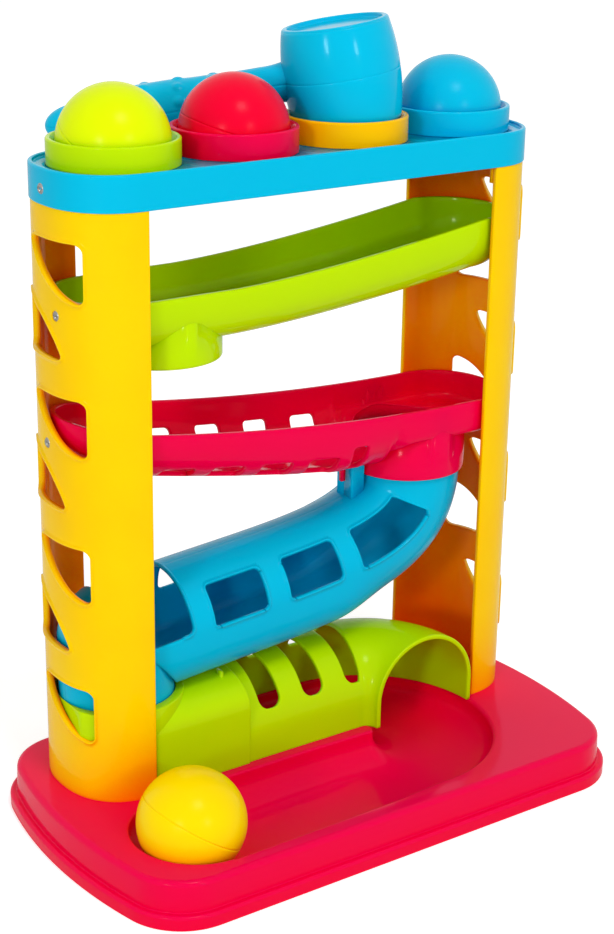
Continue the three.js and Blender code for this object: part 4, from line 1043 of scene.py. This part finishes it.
def hammer_shape():
    """A barrel turned about one axis and a swelling handle turned about another, with a weld line on both.

    The handle droops along the grip, and rows of tiny pips stand on its sides.
    """
    upper = np.linspace(0.9, 21.2, 20)
    z = np.concatenate([-upper[::-1], [-0.4, -0.18, 0, 0.18, 0.4], upper])
    belly = HEAD_RADIUS - HEAD_TAPER * (z / HEAD_HALF) ** 2 - HEAD_WELD * np.exp(-(z / 0.2) ** 2)
    face = rounded([
        (0, 20.2, 0), (20.2, 20.2, 0.6), (20.6, HEAD_HALF, 0.6), (22.85, HEAD_HALF, 1.0), (23.3, 19.4, 0)],
        arc=6)[:-2]
    profile = np.vstack([face * [1, -1], np.column_stack([belly, z]), face[::-1]])
    head = revolved(profile, 0, 0, 144, False)
    end = mm(sizes().handle_length)
    tip = TIP_START + (1 - TIP_START) * np.sin(np.linspace(0.04, np.pi / 2, 16))
    turn = round_turn(112)
    d, phi = np.meshgrid(
        np.concatenate([np.linspace(HANDLE_START, TIP_START * end, 150), end * tip]),
        turn - 0.18 * np.sin(2 * turn), indexing="ij")
    r = handle_radius(d)
    r = r - HANDLE_WELD * np.exp(-((r * np.sin(phi)) / 0.3) ** 2) * (r > 2)
    for place, angles in PIP_ROWS:
        for angle in (*angles, *[-a for a in angles]):
            gap = np.mod(phi - angle + np.pi, 2 * np.pi) - np.pi
            away = np.hypot(d - place, PIP_GIRTH * gap)
            r = r + PIP_HEIGHT * smooth_step(1.35 - away / PIP_RADIUS)
    droop = HANDLE_DROOP * smooth_step((d - 25) / 45)
    handle = np.stack([d, r * np.cos(phi), r * np.sin(phi) - droop], -1)
    points, faces = joined(head, (handle, grid(*d.shape, False, True)))
    slope, yaw = np.radians([HAMMER_SLOPE, HAMMER_YAW])
    spin = np.array(Matrix.Rotation(np.pi - yaw, 3, "Z") @ Matrix.Rotation(slope, 3, "Y"))
    ahead = np.array([np.cos(yaw), -np.sin(yaw), 0])
    lean = np.array([0, 0, np.cos(slope)]) - np.sin(slope) * ahead
    seat = np.array([RING_PLACES[2], TOWER_Y, RING_TOP]) + HEAD_LIFT * lean + HEAD_SHIFT * ahead
    return points @ spin.T + seat, faces


# Screws

# Radius and height over the seat, from the middle of the head out and down to the tip
SCREW_PROFILE = (
    (0, 1.0), (0.5, 1.02), (0.9, 1.22), (1.3, 1.36), (1.8, 1.2), (2.15, 0.85), (2.38, 0.4), (2.4, 0),
    (1.3, 0), (1.3, -7.5), (0.7, -8.6), (0, -9))
HEAD_HEIGHT, RECESS_DEPTH = 1.5, 0.6


def screw_shape(side, seat, y, z):
    """A pan head with a crossed recess and a plain shank: a profile of (radius, height) turned about x."""
    turn = round_turn(64)
    r, h = np.array(SCREW_PROFILE).T[..., None]
    a, b = r * np.cos(turn), r * np.sin(turn)
    arm = np.minimum(np.abs(a), np.abs(b))
    cross = (1 - smooth_step((arm - 0.22) / 0.2)) * (1 - smooth_step((r - 1.25) / 0.3))
    dip = RECESS_DEPTH * cross * (h > 0.5)
    points = np.stack([side * (seat + h - dip), y + a, z + b], -1).reshape(-1, 3)
    return points, grid(len(SCREW_PROFILE), len(turn), False, True)


# Finishes

def add(tree, kind, inputs=(), **settings):
    """Adds a node, sets its options, and fills its sockets from values or from other nodes' outputs."""
    made = tree.nodes.new(kind)
    for key, value in settings.items():
        setattr(made, key, value)
    for key, value in dict(inputs).items():
        if isinstance(value, bpy.types.NodeSocket):
            tree.links.new(value, made.inputs[key])
        else:
            made.inputs[key].default_value = value
    return made


def started(name):
    """A new material with an empty node tree."""
    finish = bpy.data.materials.new(name)
    finish.use_nodes = True
    finish.node_tree.nodes.clear()
    return finish, finish.node_tree


def moulded(name, tint, deep, gloss, peel, glow):
    """Injection-moulded polypropylene: a clear colour with painted shade in hollows, faint peel and handling
    haze.

    Where ambient occlusion finds walls close by, the colour is mixed over to a deeper one: painted shade,
    standing in for the shade and the light bounced between walls of one colour. A little of that deeper
    colour also drifts along the melt's flow over some 40 mm. The gloss changes in soft clouds of 15 mm, and
    the peel is a bump about 1.5 mm across.
    A little light passes below the skin.
    """
    finish, tree = started(name)
    where = add(tree, "ShaderNodeTexCoord").outputs["Object"]
    drift = add(tree, "ShaderNodeTexNoise", {"Vector": where, "Scale": 25.0, "Detail": 2.0})
    band = add(tree, "ShaderNodeMapRange", {
        "Value": drift.outputs["Fac"], "From Min": 0.35, "From Max": 0.7, "To Min": 0.0, "To Max": 0.08})
    # Painted shade: ambient occlusion sets how far the colour is mixed towards its deeper painted-shade
    # colour
    painted_shade_occlusion = add(tree, "ShaderNodeAmbientOcclusion", {"Distance": 0.09}, samples=6)
    painted_shade_share = add(tree, "ShaderNodeMapRange", {
        "Value": painted_shade_occlusion.outputs["AO"], "From Min": 0.2, "From Max": 0.7, "To Min": 1.0, "To Max": 0.0})
    both = add(tree, "ShaderNodeMath", {0: band.outputs["Result"], 1: painted_shade_share.outputs["Result"]},
               operation="ADD", use_clamp=True)
    shade = add(tree, "ShaderNodeMix", {
        "Factor": both.outputs["Value"], "A": (*tint, 1), "B": (*deep, 1)}, data_type="RGBA")
    cloud = add(tree, "ShaderNodeTexNoise", {"Vector": where, "Scale": 66.0, "Detail": 4.0, "Roughness": 0.6})
    haze = add(tree, "ShaderNodeMapRange", {
        "Value": cloud.outputs["Fac"], "From Min": 0.3, "From Max": 0.75,
        "To Min": gloss, "To Max": gloss + 0.05})
    grain = add(tree, "ShaderNodeTexNoise", {"Vector": where, "Scale": 660.0, "Detail": 1.5})
    fine = add(tree, "ShaderNodeTexNoise", {"Vector": where, "Scale": 4000.0, "Detail": 1.0})
    low = add(tree, "ShaderNodeBump", {"Height": grain.outputs["Fac"], "Strength": peel, "Distance": 0.00015})
    skin = add(tree, "ShaderNodeBump", {
        "Height": fine.outputs["Fac"], "Strength": peel * 0.5, "Distance": 0.00003,
        "Normal": low.outputs["Normal"]})
    shader = add(tree, "ShaderNodeBsdfPrincipled", {
        "Base Color": shade.outputs["Result"], "Roughness": haze.outputs["Result"], "IOR": 1.49,
        "Specular IOR Level": 0.1, "Specular Tint": (*[0.5 + 0.5 * c for c in tint], 1),
        "Subsurface Weight": glow, "Subsurface Radius": (1.0, 0.45, 0.2), "Subsurface Scale": 0.002,
        "Normal": skin.outputs["Normal"]})
    add(tree, "ShaderNodeOutputMaterial", {"Surface": shader.outputs["BSDF"]})
    return finish


def plated(name, tint):
    """Zinc-plated steel: drawn streaks along the screw and small dull spots, so the head glints unevenly."""
    finish, tree = started(name)
    where = add(tree, "ShaderNodeTexCoord").outputs["Object"]
    drawn = add(tree, "ShaderNodeMapping", {"Vector": where, "Scale": (0.2, 1.0, 1.0)})
    streak = add(tree, "ShaderNodeTexNoise", {
        "Vector": drawn.outputs["Vector"], "Scale": 3000.0, "Detail": 3.0})
    dull = add(tree, "ShaderNodeMapRange", {
        "Value": streak.outputs["Fac"], "From Min": 0.3, "From Max": 0.7, "To Min": 0.22, "To Max": 0.42})
    shade = add(tree, "ShaderNodeMix", {
        "Factor": streak.outputs["Fac"], "A": (*tint, 1),
        "B": (*[0.75 * c for c in tint], 1)}, data_type="RGBA")
    relief = add(tree, "ShaderNodeBump", {
        "Height": streak.outputs["Fac"], "Strength": 0.2, "Distance": 0.00002})
    shader = add(tree, "ShaderNodeBsdfPrincipled", {
        "Base Color": shade.outputs["Result"], "Roughness": dull.outputs["Result"], "Metallic": 1.0,
        "Normal": relief.outputs["Normal"]})
    add(tree, "ShaderNodeOutputMaterial", {"Surface": shader.outputs["BSDF"]})
    return finish


def painted_floor(name, tint):
    """A matt painted board: faint roller stipple a few millimetres across and a slow change of tone.

    The camera sees it lifted towards white, and the object's shadow stays on it.
    """
    finish, tree = started(name)
    where = add(tree, "ShaderNodeTexCoord").outputs["Object"]
    stipple = add(tree, "ShaderNodeTexNoise", {"Vector": where, "Scale": 300.0, "Detail": 3.0})
    tone = add(tree, "ShaderNodeTexNoise", {"Vector": where, "Scale": 1.5, "Detail": 1.0})
    shade = add(tree, "ShaderNodeMix", {
        "Factor": tone.outputs["Fac"], "A": (*tint, 1),
        "B": (*[0.985 * c for c in tint], 1)}, data_type="RGBA")
    relief = add(tree, "ShaderNodeBump", {
        "Height": stipple.outputs["Fac"], "Strength": 0.05, "Distance": 0.0002})
    shader = add(tree, "ShaderNodeBsdfPrincipled", {
        "Base Color": shade.outputs["Result"], "Roughness": 0.8, "Normal": relief.outputs["Normal"]})
    path = add(tree, "ShaderNodeLightPath")
    lift = add(tree, "ShaderNodeMath", {0: path.outputs["Is Camera Ray"], 1: 0.45}, operation="MULTIPLY")
    glow = add(tree, "ShaderNodeEmission", {"Color": (1, 1, 1, 1), "Strength": lift.outputs["Value"]})
    whole = add(tree, "ShaderNodeAddShader", {0: shader.outputs["BSDF"], 1: glow.outputs["Emission"]})
    add(tree, "ShaderNodeOutputMaterial", {"Surface": whole.outputs["Shader"]})
    return finish


def finish_for(key):
    """The finish of one of the tower's colours, made once."""
    kept = bpy.data.materials.get(f"tower_{key}")
    if kept:
        return kept
    tint = tuple(getattr(bpy.context.scene.tower_colours, key))
    if key == "steel":
        return plated("tower_steel", tint)
    if key == "floor":
        return painted_floor("tower_floor", tint)
    gloss, peel = (0.22, 0.2) if key.endswith("_ball") else (0.1, 0.08)
    # The second colour is the painted shade, mixed in by ambient occlusion where walls are close
    return moulded(f"tower_{key}", tint, linear(PAINTED_SHADES[key]), gloss, peel, 0.1)


# Operators

class TOWER_OT_base(bpy.types.Operator):
    """Builds the base with its hairpin tray and the ribs under it"""
    bl_idname = "tower.base"
    bl_label = "Base tray"

    def execute(self, context):
        make_piece("base_tray_fine", base_shape(), finish_for("red"), "tower", ["base_tray"])
        return {"FINISHED"}


class TOWER_OT_panels(bpy.types.Operator):
    """Builds the two end panels with their bordered windows"""
    bl_idname = "tower.panels"
    bl_label = "End panels"

    def execute(self, context):
        for name, side in SIDES.items():
            tower_piece(f"{name}_end_panel", panel_shape(side), "yellow")
        return {"FINISHED"}


class TOWER_OT_deck(bpy.types.Operator):
    """Builds the top deck and its four ball rings"""
    bl_idname = "tower.deck"
    bl_label = "Deck and rings"

    def execute(self, context):
        tower_piece("top_deck", deck_shape(), "blue")
        keys = {"green": "green", "red": "red", "yellow": "amber", "blue": "blue"}
        for x, (name, key) in zip(RING_PLACES, keys.items()):
            tower_piece(f"{name}_ring", ring_shape(x), key)
        return {"FINISHED"}


class TOWER_OT_balls(bpy.types.Operator):
    """Builds the four balls, each with its weld line"""
    bl_idname = "tower.balls"
    bl_label = "Balls"

    def execute(self, context):
        seats = [(x, TOWER_Y, BALL_SEAT) for x in RING_PLACES]
        for name, place, tilt, turn in (
                ("green", seats[0], 0.5, 0.4), ("red", seats[1], 0.3, 1.2), ("blue", seats[3], 0.2, -0.6),
                ("yellow", TRAY_SEAT, 0.59, 1.52)):
            ball = f"{name}_ball"
            make_piece(ball, ball_shape(place, tilt, turn), finish_for(ball), f"ball_{name}",
                       [f"{ball}_upper_half", f"{ball}_lower_half"])
        return {"FINISHED"}


class TOWER_OT_channels(bpy.types.Operator):
    """Builds the green trough with its spout and the red ramp with its windows and collar"""
    bl_idname = "tower.channels"
    bl_label = "Trough and ramp"

    def execute(self, context):
        tower_piece("upper_trough", trough_shape(), "green")
        tower_piece("middle_ramp", ramp_shape(), "red")
        return {"FINISHED"}


class TOWER_OT_tube(bpy.types.Operator):
    """Builds the tube's front and back halves, and the bracket on its crown"""
    bl_idname = "tower.tube"
    bl_label = "Tube"

    def execute(self, context):
        for name, side in (("front", -1), ("back", 1)):
            tower_piece(f"tube_{name}_half", joined(tube_shape(side), lug_shape(side)), "blue")
        return {"FINISHED"}


class TOWER_OT_tunnel(bpy.types.Operator):
    """Builds the inlet box and the slotted arch that leads to the tray"""
    bl_idname = "tower.tunnel"
    bl_label = "Tunnel"

    def execute(self, context):
        tower_piece("tunnel_inlet", inlet_shape(), "green")
        tower_piece("tunnel_arch", tunnel_shape(), "green")
        return {"FINISHED"}


class TOWER_OT_hammer(bpy.types.Operator):
    """Builds the hammer that stands in the third ring"""
    bl_idname = "tower.hammer"
    bl_label = "Hammer"

    def execute(self, context):
        make_piece("hammer", hammer_shape(), finish_for("blue"), "hammer",
                   ["hammer_upper_shell", "hammer_lower_shell"])
        return {"FINISHED"}


class TOWER_OT_screws(bpy.types.Operator):
    """Builds the six screws that hold the channels and the deck"""
    bl_idname = "tower.screws"
    bl_label = "Screws"

    def execute(self, context):
        for end, side in SIDES.items():
            for held in ("trough", "ramp", "deck"):
                node = f"{held}_screw_{end}"
                low, high = mm(np.array(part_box(node)))
                seat = (high[0] if side > 0 else -low[0]) - HEAD_HEIGHT
                tower_piece(node, screw_shape(side, seat, *SCREWS[held, side]), "steel")
        return {"FINISHED"}


class TOWER_OT_stage(bpy.types.Operator):
    """Sets up the floor, the lights, the pale surroundings and the camera"""
    bl_idname = "tower.stage"
    bl_label = "Stage"

    def execute(self, context):
        scene = context.scene
        mesh = bpy.data.meshes.new("floor")
        mesh.from_pydata([(-4, -4, 0), (4, -4, 0), (4, 4, 0), (-4, 4, 0)], [], [(0, 1, 2, 3)])
        mesh.materials.append(finish_for("floor"))
        floor = bpy.data.objects.new("floor", mesh)
        scene.collection.objects.link(floor)
        for name, place, aim, size, power in (
                ("left", (-1.42, -0.84, 0.56), (0, 0, 0.15), 0.2, 5.4),
                ("right", (0, -1.6, 0.7), (0, 0, 0.15), 0.16, 3),
                ("top", (-0.15, -0.75, 1.35), (0, 0, 0.1), 0.35, 5.6)):
            light = bpy.data.lights.new(name, "AREA")
            light.size, light.energy = size, power
            lamp = bpy.data.objects.new(name, light)
            lamp.location = place
            lamp.rotation_euler = (Vector(aim) - Vector(place)).to_track_quat("-Z", "Y").to_euler()
            scene.collection.objects.link(lamp)
        surroundings(scene)
        scene.camera = photo_camera(scene)
        return {"FINISHED"}


def surroundings(scene):
    """A soft even light from all round; the camera, mirrored rays and rays seen through show it as white."""
    world = bpy.data.worlds.new("studio")
    scene.world = world
    world.use_nodes = True
    tree = world.node_tree
    tree.nodes.clear()
    path = add(tree, "ShaderNodeLightPath")
    through = add(tree, "ShaderNodeMath", {
        0: path.outputs["Is Glossy Ray"], 1: path.outputs["Is Transmission Ray"]}, operation="MAXIMUM")
    seen = add(tree, "ShaderNodeMath", {0: path.outputs["Is Camera Ray"], 1: through.outputs["Value"]},
               operation="MAXIMUM")
    soft = add(tree, "ShaderNodeBackground", {"Color": (1, 1, 1, 1), "Strength": 0.62})
    white = add(tree, "ShaderNodeBackground", {"Color": (1, 1, 1, 1), "Strength": 1.0})
    both = add(tree, "ShaderNodeMixShader", {
        0: seen.outputs["Value"], 1: soft.outputs["Background"], 2: white.outputs["Background"]})
    add(tree, "ShaderNodeOutputWorld", {"Surface": both.outputs["Shader"]})


def photo_camera(scene):
    """The camera of the photograph, from its yaw, pitch, roll and place."""
    yaw, pitch, roll = np.radians([35.318, 19.736, -0.919])
    ahead = np.array([np.sin(yaw) * np.cos(pitch), np.cos(yaw) * np.cos(pitch), -np.sin(pitch)])
    right = np.array([np.cos(yaw), -np.sin(yaw), 0])
    down = np.cross(ahead, right)
    right, down = np.cos(roll) * right + np.sin(roll) * down, -np.sin(roll) * right + np.cos(roll) * down
    data = bpy.data.cameras.new("photo")
    data.sensor_width, data.lens = 36, 72.59
    data.clip_start, data.clip_end = 0.05, 20
    camera = bpy.data.objects.new("photo", data)
    turn = Matrix(np.column_stack([right, -down, -ahead]).tolist()).to_4x4()
    camera.matrix_world = Matrix.Translation((-0.454625, -0.628030, 0.432226)) @ turn
    scene.collection.objects.link(camera)
    return camera


class TOWER_PT_panel(bpy.types.Panel):
    """Sizes, colours and the buttons that build the tower"""
    bl_idname = "TOWER_PT_panel"
    bl_label = "Ball pounding tower"
    bl_space_type = "VIEW_3D"
    bl_region_type = "UI"
    bl_category = "Tower"

    def draw(self, context):
        for group in (context.scene.tower_sizes, context.scene.tower_colours):
            column = self.layout.column()
            for key in group.__annotations__:
                column.prop(group, key)
        for operator in OPERATORS:
            self.layout.operator(operator.bl_idname)


OPERATORS = (
    TOWER_OT_base, TOWER_OT_panels, TOWER_OT_deck, TOWER_OT_balls, TOWER_OT_channels, TOWER_OT_tube,
    TOWER_OT_tunnel, TOWER_OT_hammer, TOWER_OT_screws, TOWER_OT_stage)
CLASSES = (TowerSizes, TowerColours, *OPERATORS, TOWER_PT_panel)


def register():
    for cls in CLASSES:
        bpy.utils.register_class(cls)
    bpy.types.Scene.tower_sizes = bpy.props.PointerProperty(type=TowerSizes)
    bpy.types.Scene.tower_colours = bpy.props.PointerProperty(type=TowerColours)


def unregister():
    del bpy.types.Scene.tower_colours
    del bpy.types.Scene.tower_sizes
    for cls in reversed(CLASSES):
        bpy.utils.unregister_class(cls)


def main():
    register()
    bpy.context.scene.view_settings.view_transform = "Standard"
    bpy.ops.tower.base()
    bpy.ops.tower.panels()
    bpy.ops.tower.deck()
    bpy.ops.tower.balls()
    bpy.ops.tower.channels()
    bpy.ops.tower.tube()
    bpy.ops.tower.tunnel()
    bpy.ops.tower.hammer()
    bpy.ops.tower.screws()
    bpy.ops.tower.stage()


if __name__ == "__main__":
    main()
